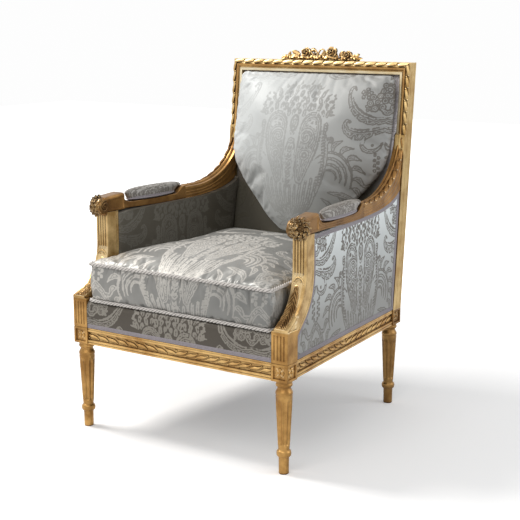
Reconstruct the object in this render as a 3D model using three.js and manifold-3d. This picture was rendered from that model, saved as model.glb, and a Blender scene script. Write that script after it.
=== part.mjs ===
// A bergère chair: a carved and gilt beech frame with upholstered sides and back,
// a loose seat cushion and a loose back cushion. Millimetres, +Z up, the sitter faces -Y.
// Right means +X, which is on the right of someone who looks at the chair from the front.
// While the pieces are made, y = 0 is the front face of the front corner blocks;
// the whole chair is centred front to back at the end.
import * as THREE from 'three';
import { mergeVertices } from 'three/addons/utils/BufferGeometryUtils.js';
import Module from 'manifold-3d';

const wasm = await Module();
wasm.setup();

// Overall sizes
const FRONT_WIDTH = 700;
const BACK_WIDTH = 610;
const SEAT_DEPTH = 695;
const BACK_HEIGHT = 1000;
const BACK_RAKE = 62;
const LEG_HEIGHT = 245;
const RAIL_HEIGHT = 46;
const BLOCK_SIZE = 48;
const ARM_HEIGHT = 600;

// Clearance between pieces that touch, and the overrun of cuts and joins
const FIT = 0.3;
const OVERRUN = 1;

// Legs
const LEG_RADIUS = 22;
const FLUTE_DEPTH = 2.2;
const PANEL_SIZE = 34;
const PANEL_DEPTH = 4;
const ROSETTE_RADIUS = 13;
const ROSETTE_HEIGHT = 4;

// Seat rails and their joints
const RAIL_THICKNESS = 32;
const RAIL_SETBACK = 3;
const CHANNEL_HEIGHT = 22;
const CHANNEL_DEPTH = 5;
const TENON_LENGTH = 20;
const TENON_THICKNESS = 10;
const TENON_HEIGHT = 30;
const BACK_RAIL_SETBACK = 8;

// Corner braces and screws
const BRACE_REACH = 62;
const BRACE_HEIGHT = 34;
const SCREW_BED = 14;
const SCREW_GRIP = 16;
const SCREW_RADIUS = 2.2;
const SCREW_HEAD_RADIUS = 5;
const SCREW_HEAD_HEIGHT = 3;
const SCREW_POINT_HEIGHT = 4;

// Arm posts
const POST_WIDTH = 41;
const POST_BASE_PROUD = 9;
const POST_FRONT = 97;
const POST_DEPTH = 43;
const POST_LIP_HEIGHT = 6;
const POST_STRAIGHT = 86;
const POST_REAR_STRAIGHT = 94;
const POST_HEEL_DROP = 28;
const POST_DOWEL_RADIUS = 5;
const POST_DOWEL_LENGTH = 16;
const POST_DOWEL_INSET = 12;
const GROOVE_WIDTH = 4;
const GROOVE_DEPTH = 2;
const GROOVE_MARGIN = 8;
const POST_GROOVE_LENGTH = 84;

// Arms
const ARM_WIDTH = 42;
const ARM_RAIL_WIDTH = 34;
const ARM_BLOCK_HEIGHT = 47;
const ARM_BLOCK_END = 166;
const ARM_RAIL_HEIGHT = 16;
const ARM_RAIL_START = 205;
const ARM_RAIL_END = 385;
const ARM_END = 434;
const ARM_END_HEIGHT = 37;
const ARM_ARCH = 5;
const KNUCKLE_RADIUS = 24;
const KNUCKLE_CENTRE = 86;
const VOLUTE_RADIUS = 20;
const VOLUTE_PROUD = 3;
const VOLUTE_EYE_RADIUS = 6;
const ARM_DOWEL_RADIUS = 6;
const ARM_DOWEL_LENGTH = 20;

// Arm sweeps
const SWEEP_WIDTH = 34;
const SWEEP_TOP = 800;
const SWEEP_FLAT_END = 480;
const SWEEP_TIP = 2;
const SWEEP_HEEL = 640;
const SWEEP_DOWEL_RADIUS = 5;
const SWEEP_DOWEL_LENGTH = 16;

// Back frame
const STILE_WIDTH = 31;
const STILE_TOP_DEPTH = 44;
const TOP_RAIL_HEIGHT = 34;
const BACK_TENON_HEIGHT = 20;
const BACK_TENON_THICKNESS = 14;
const LOWER_RAIL_BOTTOM = 320;
const LOWER_RAIL_HEIGHT = 42;
const LOWER_RAIL_FRONT_INSET = 2;
const LOWER_RAIL_REAR_INSET = 12;

// Crest carving
const CREST_WIDTH = 278;
const CREST_DEPTH = 20;
const CREST_BASE_HEIGHT = 9;
const CREST_BASE_TOP_WIDTH = 180;
const ROSE_RADIUS = 19;
const CREST_DOWEL_RADIUS = 3;
const CREST_DOWEL_LENGTH = 12;

// Outside panels
const PANEL_INSET = 3;
const OUTSIDE_PANEL_THICKNESS = 8;
const BACK_PANEL_INSET = 2;

// Inside upholstery
const ARM_PAD_FACE = 48;
const BACK_PAD_PROUD = 25;
const BACK_PAD_RECESS = 14;
const BACK_PAD_CROWN = 5;

// Webbing, deck and dust cover
const WEB_THICKNESS = 2;
const WEB_WIDTH = 50;
const WEB_SPACING = 125;
const WEB_LAP = 21;
const DECK_TOP = 365;
const DECK_FRONT = 4;
const DECK_FRONT_CROWN = 4;
const DECK_EDGE_RADIUS = 8;
const DECK_SHOULDER = 72;
const DUST_COVER_THICKNESS = 1.5;
const DUST_COVER_LAP = 10;

// Seat cushion
const CUSHION_SIDE_GAP = 1;
const CUSHION_FRONT = 1;
const CUSHION_HEIGHT = 106;
const CUSHION_CROWN = 43;
const CUSHION_CORNER_RADIUS = 16;
const CUSHION_DRAWN_IN = 4;
const CORD_RADIUS = 5.2;
const CORD_GROOVE = 5.4;
const COVER_THICKNESS = 3;
const ZIP_HEIGHT = 8;
const ZIP_LENGTH = 380;

// Back cushion
const BACK_CUSHION_HALF_WIDTH = 267;
const BACK_CUSHION_TOP_GAP = 3;
const BACK_CUSHION_FOOT_RISE = 130;
const BACK_CUSHION_FOOT_DEPTH = 44.4;
const BACK_CUSHION_TOP_PROUD = 3;
const BACK_CUSHION_BULGE = 82;
const BACK_ZIP_LENGTH = 150;
const BACK_ZIP_HEIGHT = 560;

// Arm rest pads
const MANCHETTE_WIDTH = 47;
const MANCHETTE_MIDDLE = 14;
const MANCHETTE_HEIGHT = 36;
const MANCHETTE_FRONT = 198;
const MANCHETTE_REAR = 431;

// Roundness of turned pieces and of cushion outlines, as counts
const LEG_SIDES = 20;
const DOWEL_SIDES = 10;
const SCREW_SIDES = 8;
const CURVE_STEPS = 8;
const CORNER_STEPS = 4;
const EDGE_STEPS = 6;
const CORE_CORNER_STEPS = 3;
const CORE_EDGE_STEPS = 3;
const OVAL_POINTS = 48;
const CORE_OVAL_POINTS = 24;
const CORD_SIDES = 6;

// Heights and lines that the pieces share
const RAIL_TOP = LEG_HEIGHT + RAIL_HEIGHT;
const RAIL_MIDDLE = LEG_HEIGHT + RAIL_HEIGHT / 2;
const FRONT_HALF = FRONT_WIDTH / 2;
const BACK_HALF = BACK_WIDTH / 2;
const REAR_BLOCK_FRONT = SEAT_DEPTH - BLOCK_SIZE;
const SIDE_SLOPE = (FRONT_HALF - BACK_HALF) / REAR_BLOCK_FRONT;
const STILE_INNER = BACK_HALF - STILE_WIDTH;
const TOP_RAIL_BOTTOM = BACK_HEIGHT - TOP_RAIL_HEIGHT;

const sideAt = (y) => FRONT_HALF - SIDE_SLOPE * y;
const rise = (z) => (z - RAIL_TOP) / (BACK_HEIGHT - RAIL_TOP);
const stileRear = (z) => SEAT_DEPTH + BACK_RAKE * rise(z);
const stileFront = (z) => stileRear(z) - BLOCK_SIZE + (BLOCK_SIZE - STILE_TOP_DEPTH) * rise(z);
const padRise = (z) => (z - DECK_TOP) / (TOP_RAIL_BOTTOM - DECK_TOP);
const backPadFace = (z) => THREE.MathUtils.lerp(
	stileFront(DECK_TOP) - BACK_PAD_PROUD, stileFront(TOP_RAIL_BOTTOM) + BACK_PAD_RECESS, padRise(z));

// Finishes
const finish = (color, roughness, metalness) => (name) =>
	new THREE.MeshStandardMaterial({ name, color, roughness, metalness });
const gilt = finish(0xb08a4f, 0.42, 0.65);
const beech = finish(0xb79468, 0.75, 0);
const damask = finish(0xb4b5b1, 0.55, 0);
const twist = finish(0x8f8790, 0.6, 0);
const filling = finish(0xe9e3d2, 0.9, 0);
const jute = finish(0xa08a62, 0.95, 0);
const lining = finish(0x2b2a2a, 0.95, 0);
const steel = finish(0xa9a9a6, 0.4, 0.9);

const chair = new THREE.Group();

// Adds one named piece to the chair
function add(name, geometry, look) {
	const mesh = new THREE.Mesh(geometry, look(name));
	mesh.name = name;
	chair.add(mesh);
}

// Turns a matrix loose on a geometry and keeps its faces pointing out
function mapped(geometry, matrix) {
	const result = geometry.clone().applyMatrix4(matrix);
	if (matrix.determinant() < 0) {
		const flipped = result.index ? result : mergeVertices(result);
		const order = flipped.index.array;
		for (let i = 0; i < order.length; i += 3) [order[i], order[i + 1]] = [order[i + 1], order[i]];
		flipped.computeVertexNormals();
		return flipped;
	}
	return result;
}

// A closed geometry as a solid that can be joined and cut
function toSolid(geometry) {
	const bare = geometry.clone();
	bare.deleteAttribute('normal');
	bare.deleteAttribute('uv');
	const merged = mergeVertices(bare);
	const mesh = new wasm.Mesh({
		numProp: 3,
		vertProperties: new Float32Array(merged.attributes.position.array),
		triVerts: new Uint32Array(merged.index.array),
	});
	return new wasm.Manifold(mesh);
}

function toGeometry(solid) {
	const mesh = solid.getMesh();
	const geometry = new THREE.BufferGeometry();
	geometry.setAttribute('position', new THREE.BufferAttribute(mesh.vertProperties, 3));
	geometry.setIndex(new THREE.BufferAttribute(mesh.triVerts, 1));
	geometry.computeVertexNormals();
	return geometry;
}

// Joins every geometry of the first list and cuts away every one of the second
function carve(joined, cuts = []) {
	let solid = toSolid(joined[0]);
	for (const piece of joined.slice(1)) solid = solid.add(toSolid(piece));
	for (const cut of cuts) solid = solid.subtract(toSolid(cut));
	return toGeometry(solid);
}

function common(first, second) {
	return toGeometry(toSolid(first).intersect(toSolid(second)));
}

// A box between two x, two y and two z
function box([x0, x1], [y0, y1], [z0, z1]) {
	const geometry = new THREE.BoxGeometry(x1 - x0, y1 - y0, z1 - z0);
	return geometry.translate((x0 + x1) / 2, (y0 + y1) / 2, (z0 + z1) / 2);
}

const grown = ([low, high], by) => [low - by, high + by];

// A prism of an outline in y and z, from one x to another
function prismAcross(shape, [x0, x1]) {
	const settings = { depth: x1 - x0, bevelEnabled: false, curveSegments: CURVE_STEPS };
	const geometry = new THREE.ExtrudeGeometry(shape, settings);
	const turn = new THREE.Matrix4().makeBasis(
		new THREE.Vector3(0, 1, 0), new THREE.Vector3(0, 0, 1), new THREE.Vector3(1, 0, 0));
	return geometry.applyMatrix4(turn).translate(x0, 0, 0);
}

// A prism of an outline in x and y, from one z to another
function prismUp(shape, [z0, z1]) {
	return new THREE.ExtrudeGeometry(shape, { depth: z1 - z0, bevelEnabled: false }).translate(0, 0, z0);
}

function polygon(points) {
	return new THREE.Shape(points.map(([a, b]) => new THREE.Vector2(a, b)));
}

// The turn that takes one direction to another
const turned = (from, to) => new THREE.Quaternion().setFromUnitVectors(
	new THREE.Vector3(...from), new THREE.Vector3(...to));

// A round pin between two points of one line that runs along x, y or z
function pin(radius, from, to, sides = DOWEL_SIDES) {
	const start = new THREE.Vector3(...from);
	const way = new THREE.Vector3(...to).sub(start);
	const geometry = new THREE.CylinderGeometry(radius, radius, way.length(), sides);
	const turn = turned([0, 1, 0], way.clone().normalize().toArray());
	return geometry.applyQuaternion(turn).translate(...start.addScaledVector(way, 1 / 2).toArray());
}

// The right side frame: the first coordinate is the depth in from the outer side plane
const RIGHT_SIDE = new THREE.Matrix4().set(
	-1, -SIDE_SLOPE, 0, FRONT_HALF,
	0, 1, 0, 0,
	0, 0, 1, 0,
	0, 0, 0, 1);
const MIRROR = new THREE.Matrix4().makeScale(-1, 1, 1);
const onSide = (geometry) => mapped(geometry, RIGHT_SIDE);

// Adds the right piece as made and the left one as its mirror image
function addPair(label, geometry, look) {
	add(`${label}_right`, geometry, look);
	add(`${label}_left`, mapped(geometry, MIRROR), look);
}

// A closed solid lofted through rings of points that lie one above the other,
// from the middle of the first ring to the middle of the last
function loft(rings) {
	const count = rings[0].length;
	const positions = [];
	const faces = [];
	const middle = (ring) => ring.reduce((sum, p) => sum.addScaledVector(p, 1 / count), new THREE.Vector3());
	positions.push(...middle(rings[0]).toArray());
	for (const ring of rings) for (const p of ring) positions.push(...p.toArray());
	positions.push(...middle(rings[rings.length - 1]).toArray());
	const last = rings.length * count + 1;
	const at = (ring, i) => 1 + ring * count + (i % count);
	for (let i = 0; i < count; i += 1) {
		faces.push(0, at(0, i + 1), at(0, i));
		for (let ring = 0; ring < rings.length - 1; ring += 1) {
			faces.push(at(ring, i), at(ring, i + 1), at(ring + 1, i + 1));
			faces.push(at(ring, i), at(ring + 1, i + 1), at(ring + 1, i));
		}
		faces.push(at(rings.length - 1, i), at(rings.length - 1, i + 1), last);
	}
	const geometry = new THREE.BufferGeometry();
	geometry.setAttribute('position', new THREE.Float32BufferAttribute(positions, 3));
	geometry.setIndex(faces);
	geometry.computeVertexNormals();
	return geometry;
}

// A closed cord along a closed ring of points
function cordLoop(points, radius) {
	const count = points.length;
	const positions = [];
	const faces = [];
	const up = new THREE.Vector3(0, 0, 1);
	points.forEach((p, i) => {
		const along = points[(i + 1) % count].clone().sub(points[(i + count - 1) % count]).normalize();
		const out = along.clone().cross(up).normalize();
		for (let s = 0; s < CORD_SIDES; s += 1) {
			const angle = (s / CORD_SIDES) * Math.PI * 2;
			const q = p.clone().addScaledVector(out, radius * Math.cos(angle));
			positions.push(...q.addScaledVector(up, radius * Math.sin(angle)).toArray());
		}
	});
	const at = (i, s) => (i % count) * CORD_SIDES + (s % CORD_SIDES);
	for (let i = 0; i < count; i += 1) {
		for (let s = 0; s < CORD_SIDES; s += 1) {
			faces.push(at(i, s), at(i + 1, s), at(i + 1, s + 1));
			faces.push(at(i, s), at(i + 1, s + 1), at(i, s + 1));
		}
	}
	const geometry = new THREE.BufferGeometry();
	geometry.setAttribute('position', new THREE.Float32BufferAttribute(positions, 3));
	geometry.setIndex(faces);
	geometry.computeVertexNormals();
	return geometry;
}

// Turned legs. Each point: share of the leg radius, share of the leg height, share of the flute depth.
const LEG_PROFILE_SHARES = [
	[0.59, 0, 0], [0.62, 0.188, 0], [0.82, 0.197, 0], [0.87, 0.224, 0], [0.80, 0.252, 0], [0.65, 0.268, 0],
	[0.68, 0.31, 1], [0.97, 0.77, 1], [0.99, 0.80, 0], [1, 0.83, 0],
	[0.90, 0.86, 0], [0.91, 0.90, 0], [0.73, 0.925, 0], [0.75, 0.95, 0], [0.98, 0.97, 0],
];

function turnedLeg(x, y) {
	const profile = LEG_PROFILE_SHARES.map(([r, h]) => new THREE.Vector2(r * LEG_RADIUS, h * LEG_HEIGHT));
	const top = profile[profile.length - 1].x;
	const points = [new THREE.Vector2(0, 0), ...profile,
		new THREE.Vector2(top, LEG_HEIGHT + OVERRUN), new THREE.Vector2(0, LEG_HEIGHT + OVERRUN)];
	const geometry = new THREE.LatheGeometry(points, LEG_SIDES);
	const place = geometry.attributes.position;
	for (let i = 0; i < place.count; i += 1) {
		const ring = (i % points.length) - 1;
		const side = Math.floor(i / points.length);
		const fluted = ring >= 0 && ring < profile.length && side % 2;
		const depth = fluted ? LEG_PROFILE_SHARES[ring][2] * FLUTE_DEPTH : 0;
		const radius = Math.hypot(place.getX(i), place.getZ(i));
		const scale = radius > 0 ? (radius - depth) / radius : 1;
		place.setX(i, place.getX(i) * scale);
		place.setZ(i, place.getZ(i) * scale);
	}
	return geometry.rotateX(Math.PI / 2).translate(x, y, 0);
}

// Each point of a rosette: share of its radius, share of its height
const ROSETTE_SHARES = [[1, 0.3], [0.7, 0.9], [0.35, 0.5]];

// A rosette on the floor of a panel; its axis points along the given way
function rosette(centre, way) {
	const points = ROSETTE_SHARES.map(([r, h]) => new THREE.Vector2(r * ROSETTE_RADIUS, h * ROSETTE_HEIGHT));
	const lathe = new THREE.LatheGeometry([
		new THREE.Vector2(0, -OVERRUN), new THREE.Vector2(ROSETTE_RADIUS, -OVERRUN), ...points,
		new THREE.Vector2(0, ROSETTE_HEIGHT)], SCREW_SIDES);
	return lathe.applyQuaternion(turned([0, 1, 0], way)).translate(...centre);
}

const panelSpan = (middle) => [middle - PANEL_SIZE / 2, middle + PANEL_SIZE / 2];

// Seat rail joints, where the rails' tenons enter the corner blocks
const FRONT_RAIL_Y = [RAIL_SETBACK, RAIL_SETBACK + RAIL_THICKNESS];
const BACK_RAIL_Y = [SEAT_DEPTH - BACK_RAIL_SETBACK - RAIL_THICKNESS, SEAT_DEPTH - BACK_RAIL_SETBACK];
const SIDE_RAIL_DEPTH = [RAIL_SETBACK, RAIL_SETBACK + RAIL_THICKNESS];
const centredOn = (span, size) => [(span[0] + span[1] - size) / 2, (span[0] + span[1] + size) / 2];
const TENON_Z = centredOn([LEG_HEIGHT, RAIL_TOP], TENON_HEIGHT);
const FRONT_TENON_Y = centredOn(FRONT_RAIL_Y, TENON_THICKNESS);
const BACK_TENON_Y = centredOn(BACK_RAIL_Y, TENON_THICKNESS);
const SIDE_TENON_DEPTH = centredOn(SIDE_RAIL_DEPTH, TENON_THICKNESS);
const BLOCK_INNER_FRONT = FRONT_HALF - BLOCK_SIZE;
const BLOCK_INNER_REAR = BACK_HALF - BLOCK_SIZE;

const postDowel = (clearance) => pin(POST_DOWEL_RADIUS + clearance,
	[FRONT_HALF - POST_DOWEL_INSET, POST_DOWEL_INSET, RAIL_TOP - POST_DOWEL_LENGTH - clearance],
	[FRONT_HALF - POST_DOWEL_INSET, POST_DOWEL_INSET, RAIL_TOP + FIT + OVERRUN]);

function frontLeg() {
	const x = [BLOCK_INNER_FRONT, FRONT_HALF];
	const y = [0, BLOCK_SIZE];
	const middleX = FRONT_HALF - BLOCK_SIZE / 2;
	const middleY = BLOCK_SIZE / 2;
	const front = [-OVERRUN, PANEL_DEPTH];
	const side = [FRONT_HALF - PANEL_DEPTH, FRONT_HALF + OVERRUN];
	const body = carve([box(x, y, [LEG_HEIGHT, RAIL_TOP]), turnedLeg(middleX, middleY)], [
		box(panelSpan(middleX), front, panelSpan(RAIL_MIDDLE)),
		box(side, panelSpan(middleY), panelSpan(RAIL_MIDDLE)),
		box([BLOCK_INNER_FRONT - OVERRUN, BLOCK_INNER_FRONT + TENON_LENGTH + FIT],
			grown(FRONT_TENON_Y, FIT), grown(TENON_Z, FIT)),
		onSide(box(grown(SIDE_TENON_DEPTH, FIT),
			[BLOCK_SIZE - TENON_LENGTH - FIT, BLOCK_SIZE + OVERRUN], grown(TENON_Z, FIT))),
		postDowel(FIT),
	]);
	return carve([body,
		rosette([middleX, PANEL_DEPTH, RAIL_MIDDLE], [0, -1, 0]),
		rosette([FRONT_HALF - PANEL_DEPTH, middleY, RAIL_MIDDLE], [1, 0, 0])]);
}
addPair('front_leg', frontLeg(), gilt);

// The tenon of a back cross rail, at the middle of the stile's depth
function backTenon(z, clearance) {
	const middle = (stileFront(z) + stileRear(z)) / 2;
	return box([STILE_INNER - FIT - OVERRUN, STILE_INNER + TENON_LENGTH + clearance],
		grown([middle - BACK_TENON_THICKNESS / 2, middle + BACK_TENON_THICKNESS / 2], clearance),
		grown([z - BACK_TENON_HEIGHT / 2, z + BACK_TENON_HEIGHT / 2], clearance));
}

// The dowels that hold the sweep of the arm to the stile
const SWEEP_DOWEL_SHARES = [0.14, 0.32];
function sweepDowels(clearance) {
	return SWEEP_DOWEL_SHARES.map((share) => {
		const z = THREE.MathUtils.lerp(SWEEP_HEEL, SWEEP_TOP, share);
		const x = sideAt(stileFront(z)) - SWEEP_WIDTH / 2;
		return pin(SWEEP_DOWEL_RADIUS + clearance,
			[x, stileFront(z) - SWEEP_DOWEL_LENGTH, z], [x, stileFront(z) + SWEEP_DOWEL_LENGTH + clearance, z]);
	});
}

const LOWER_RAIL_MIDDLE = LOWER_RAIL_BOTTOM + LOWER_RAIL_HEIGHT / 2;
const TOP_RAIL_MIDDLE = BACK_HEIGHT - TOP_RAIL_HEIGHT / 2;

// Rear leg, corner block and raked stile are one piece of wood
function rearLeg() {
	const x = [BLOCK_INNER_REAR, BACK_HALF];
	const y = [REAR_BLOCK_FRONT, SEAT_DEPTH];
	const middleX = BACK_HALF - BLOCK_SIZE / 2;
	const middleY = SEAT_DEPTH - BLOCK_SIZE / 2;
	const side = [BACK_HALF - PANEL_DEPTH, BACK_HALF + OVERRUN];
	const stile = polygon([
		[stileFront(RAIL_TOP), RAIL_TOP - OVERRUN], [stileRear(RAIL_TOP), RAIL_TOP - OVERRUN],
		[stileRear(RAIL_TOP), RAIL_TOP], [stileRear(BACK_HEIGHT), BACK_HEIGHT],
		[stileFront(BACK_HEIGHT), BACK_HEIGHT], [stileFront(RAIL_TOP), RAIL_TOP]]);
	const body = carve([
		box(x, y, [LEG_HEIGHT, RAIL_TOP]), turnedLeg(middleX, middleY),
		prismAcross(stile, [STILE_INNER, BACK_HALF]),
	], [
		box(side, panelSpan(middleY), panelSpan(RAIL_MIDDLE)),
		box([BLOCK_INNER_REAR - OVERRUN, BLOCK_INNER_REAR + TENON_LENGTH + FIT],
			grown(BACK_TENON_Y, FIT), grown(TENON_Z, FIT)),
		onSide(box(grown(SIDE_TENON_DEPTH, FIT),
			[REAR_BLOCK_FRONT - OVERRUN, REAR_BLOCK_FRONT + TENON_LENGTH + FIT], grown(TENON_Z, FIT))),
		backTenon(LOWER_RAIL_MIDDLE, FIT), backTenon(TOP_RAIL_MIDDLE, FIT), ...sweepDowels(FIT),
	]);
	return carve([body, rosette([BACK_HALF - PANEL_DEPTH, middleY, RAIL_MIDDLE], [1, 0, 0])]);
}
addPair('rear_leg', rearLeg(), gilt);

// Corner braces: a block in each corner of the seat frame, with a screw into each rail.
// The plan is worked out for the front corner and for the rear one from the rails' inner faces.
const RAIL_INNER_DEPTH = SIDE_RAIL_DEPTH[1];
const BRACE_Z = centredOn([LEG_HEIGHT, RAIL_TOP], BRACE_HEIGHT);

function braceCorner(isFront) {
	const way = isFront ? 1 : -1;
	const railFace = (isFront ? FRONT_RAIL_Y[1] : BACK_RAIL_Y[0]) + way * FIT;
	const blockFace = (isFront ? BLOCK_SIZE : REAR_BLOCK_FRONT) + way * FIT;
	const blockInner = (isFront ? BLOCK_INNER_FRONT : BLOCK_INNER_REAR) - FIT;
	const sideFace = (y) => sideAt(y) - RAIL_INNER_DEPTH - FIT;
	const farY = blockFace + way * BRACE_REACH;
	const farX = blockInner - BRACE_REACH;
	return { way, railFace, blockFace, blockInner, sideFace, farY, farX };
}

// The two screws of a corner: one along y into the cross rail, one along x into the side rail
function braceScrews(isFront) {
	const c = braceCorner(isFront);
	const alongX = c.blockInner - BRACE_REACH * (2 / 5);
	const alongY = c.blockFace + c.way * BRACE_REACH / 2;
	const seatY = c.railFace + c.way * SCREW_BED;
	const seatX = c.sideFace(alongY) - SCREW_BED;
	return [
		{ label: 'cross', seat: [alongX, seatY, RAIL_MIDDLE], way: [0, -c.way, 0] },
		{ label: 'side', seat: [seatX, alongY, RAIL_MIDDLE], way: [1, 0, 0] },
	];
}

const SCREW_LENGTH = SCREW_BED + SCREW_GRIP;
const stepped = (start, way, by) => start.map((value, i) => value + way[i] * by);
const screwHole = (screw) => pin(SCREW_RADIUS + FIT,
	stepped(screw.seat, screw.way, -OVERRUN), stepped(screw.seat, screw.way, SCREW_LENGTH + FIT), SCREW_SIDES);
const screwPocket = (screw) => pin(SCREW_HEAD_RADIUS + OVERRUN,
	screw.seat, stepped(screw.seat, screw.way, -BRACE_REACH), SCREW_SIDES);

function brace(isFront) {
	const c = braceCorner(isFront);
	const outline = polygon([
		[c.farX, c.railFace], [c.blockInner, c.railFace], [c.blockInner, c.blockFace],
		[c.sideFace(c.blockFace), c.blockFace], [c.sideFace(c.farY), c.farY]]);
	const screws = braceScrews(isFront);
	return carve([prismUp(outline, BRACE_Z)], [...screws.map(screwHole), ...screws.map(screwPocket)]);
}

function screw({ seat, way }) {
	const outline = [
		[0, -SCREW_LENGTH], [SCREW_RADIUS, -SCREW_LENGTH + SCREW_POINT_HEIGHT], [SCREW_RADIUS, 0],
		[SCREW_HEAD_RADIUS, 0], [SCREW_HEAD_RADIUS, SCREW_HEAD_HEIGHT], [0, SCREW_HEAD_HEIGHT]];
	const lathe = new THREE.LatheGeometry(outline.map(([r, h]) => new THREE.Vector2(r, h)), SCREW_SIDES);
	return lathe.applyQuaternion(turned([0, -1, 0], way)).translate(...stepped(seat, way, -FIT));
}

const FRONT_SCREWS = braceScrews(true);
const BACK_SCREWS = braceScrews(false);
addPair('front_brace', brace(true), beech);
addPair('rear_brace', brace(false), beech);
for (const piece of FRONT_SCREWS) addPair(`front_${piece.label}_screw`, screw(piece), steel);
for (const piece of BACK_SCREWS) addPair(`rear_${piece.label}_screw`, screw(piece), steel);

// Seat rails, each with a sunk channel for its carving along the outer face
const CHANNEL_Z = centredOn([LEG_HEIGHT, RAIL_TOP], CHANNEL_HEIGHT);
const RAIL_Z = [LEG_HEIGHT, RAIL_TOP];
const bothSides = (geometry) => [geometry, mapped(geometry, MIRROR)];

function frontRail() {
	const half = BLOCK_INNER_FRONT - FIT;
	const tenonHalf = BLOCK_INNER_FRONT + TENON_LENGTH;
	return carve([
		box([-half, half], FRONT_RAIL_Y, RAIL_Z), box([-tenonHalf, tenonHalf], FRONT_TENON_Y, TENON_Z),
	], [
		box([-half, half], [0, RAIL_SETBACK + CHANNEL_DEPTH], CHANNEL_Z),
		...bothSides(screwHole(FRONT_SCREWS[0])),
	]);
}
add('front_rail', frontRail(), gilt);

function backRail() {
	const half = BLOCK_INNER_REAR - FIT;
	const tenonHalf = BLOCK_INNER_REAR + TENON_LENGTH;
	return carve([
		box([-half, half], BACK_RAIL_Y, RAIL_Z), box([-tenonHalf, tenonHalf], BACK_TENON_Y, TENON_Z),
	], bothSides(screwHole(BACK_SCREWS[0])));
}
add('back_rail', backRail(), gilt);

function sideRail() {
	const run = [BLOCK_SIZE + FIT, REAR_BLOCK_FRONT - FIT];
	const tenonRun = [BLOCK_SIZE - TENON_LENGTH, REAR_BLOCK_FRONT + TENON_LENGTH];
	const rail = carve([box(SIDE_RAIL_DEPTH, run, RAIL_Z), box(SIDE_TENON_DEPTH, tenonRun, TENON_Z)],
		[box([0, RAIL_SETBACK + CHANNEL_DEPTH], run, CHANNEL_Z)]);
	return carve([onSide(rail)], [screwHole(FRONT_SCREWS[1]), screwHole(BACK_SCREWS[1])]);
}
addPair('side_rail', sideRail(), gilt);

// Arm posts: a fluted base block, a console that curves back, and a fluted upright
const BASE_TOP = DECK_TOP + POST_BASE_PROUD;
const POST_REAR = POST_FRONT + POST_DEPTH;
const POST_TOP = ARM_HEIGHT - FIT;
const FRONT_BEND_Z = ARM_HEIGHT - POST_STRAIGHT;
const REAR_BEND_Z = ARM_HEIGHT - POST_REAR_STRAIGHT;
const HEEL_Z = BASE_TOP - POST_HEEL_DROP;

// The rear edge of the console from its top to its heel, moved back by a clearance
function traceRearOfPost(shape, clearance) {
	const heel = [BLOCK_SIZE + clearance, HEEL_Z];
	const bend = [POST_REAR + clearance, REAR_BEND_Z];
	const low = [BLOCK_SIZE + clearance + POST_DEPTH * (5 / 8),
		THREE.MathUtils.lerp(HEEL_Z, REAR_BEND_Z, 1 / 4)];
	const high = [POST_REAR + clearance, THREE.MathUtils.lerp(HEEL_Z, REAR_BEND_Z, 1 / 3)];
	shape.lineTo(...bend).bezierCurveTo(...high, ...low, ...heel);
}

// Even places across a width for the four grooves of a fluted face
const GROOVE_SHARES = [0.2, 0.4, 0.6, 0.8];

function armPost() {
	const lip = BASE_TOP + POST_LIP_HEIGHT;
	const shape = new THREE.Shape().moveTo(0, HEEL_Z).lineTo(0, lip);
	shape.bezierCurveTo(POST_FRONT * (3 / 8), lip + POST_LIP_HEIGHT * 2, POST_FRONT,
		THREE.MathUtils.lerp(lip, FRONT_BEND_Z, 3 / 8), POST_FRONT, FRONT_BEND_Z);
	shape.lineTo(POST_FRONT, POST_TOP).lineTo(POST_REAR, POST_TOP);
	traceRearOfPost(shape, 0);
	const upperGrooves = GROOVE_SHARES.map((share) => box(
		centredOn([share * POST_WIDTH, share * POST_WIDTH], GROOVE_WIDTH),
		[POST_FRONT - OVERRUN, POST_FRONT + GROOVE_DEPTH],
		[POST_TOP - GROOVE_MARGIN - POST_GROOVE_LENGTH, POST_TOP - GROOVE_MARGIN]));
	const console = carve([prismAcross(shape, [0, POST_WIDTH])], upperGrooves);
	const baseX = [BLOCK_INNER_FRONT, FRONT_HALF];
	const base = box(baseX, [0, BLOCK_SIZE], [RAIL_TOP + FIT, BASE_TOP]);
	const lowerGrooves = GROOVE_SHARES.map((share) => {
		const middle = THREE.MathUtils.lerp(...baseX, share);
		return box(centredOn([middle, middle], GROOVE_WIDTH), [-OVERRUN, GROOVE_DEPTH],
			[RAIL_TOP + GROOVE_MARGIN, BASE_TOP - GROOVE_MARGIN]);
	});
	const tenon = pin(ARM_DOWEL_RADIUS,
		postTenonSeat(POST_TOP - OVERRUN), postTenonSeat(ARM_HEIGHT + ARM_DOWEL_LENGTH));
	return carve([base, onSide(console), postDowel(0), tenon], lowerGrooves);
}
const postTenonSeat = (z) => [
	sideAt(POST_FRONT + POST_DEPTH / 2) - POST_WIDTH / 2, POST_FRONT + POST_DEPTH / 2, z];
addPair('arm_post', armPost(), gilt);

// Arms: a knuckle with a volute, then a scooped rail that carries the arm rest pad
const ARM_BLOCK_TOP = ARM_HEIGHT + ARM_BLOCK_HEIGHT;
const ARM_RAIL_TOP = ARM_HEIGHT + ARM_RAIL_HEIGHT;
const ARM_END_TOP = ARM_HEIGHT + ARM_END_HEIGHT;

// The underside of the sweep, traced from its heel forwards to where the arm ends
const UNDERSIDE_SHARES = [[0.84, 0.34], [0.51, 0.04]];

function traceSweepUnderside(shape, clearance, end) {
	const near = [end, ARM_HEIGHT - ARM_ARCH / 2 - clearance];
	const far = [stileFront(SWEEP_HEEL), SWEEP_HEEL - clearance];
	const [heelBend, endBend] = UNDERSIDE_SHARES.map(([along, up]) => [
		THREE.MathUtils.lerp(near[0], far[0], along), THREE.MathUtils.lerp(near[1], far[1], up)]);
	shape.bezierCurveTo(...heelBend, ...endBend, ...near);
}

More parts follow.
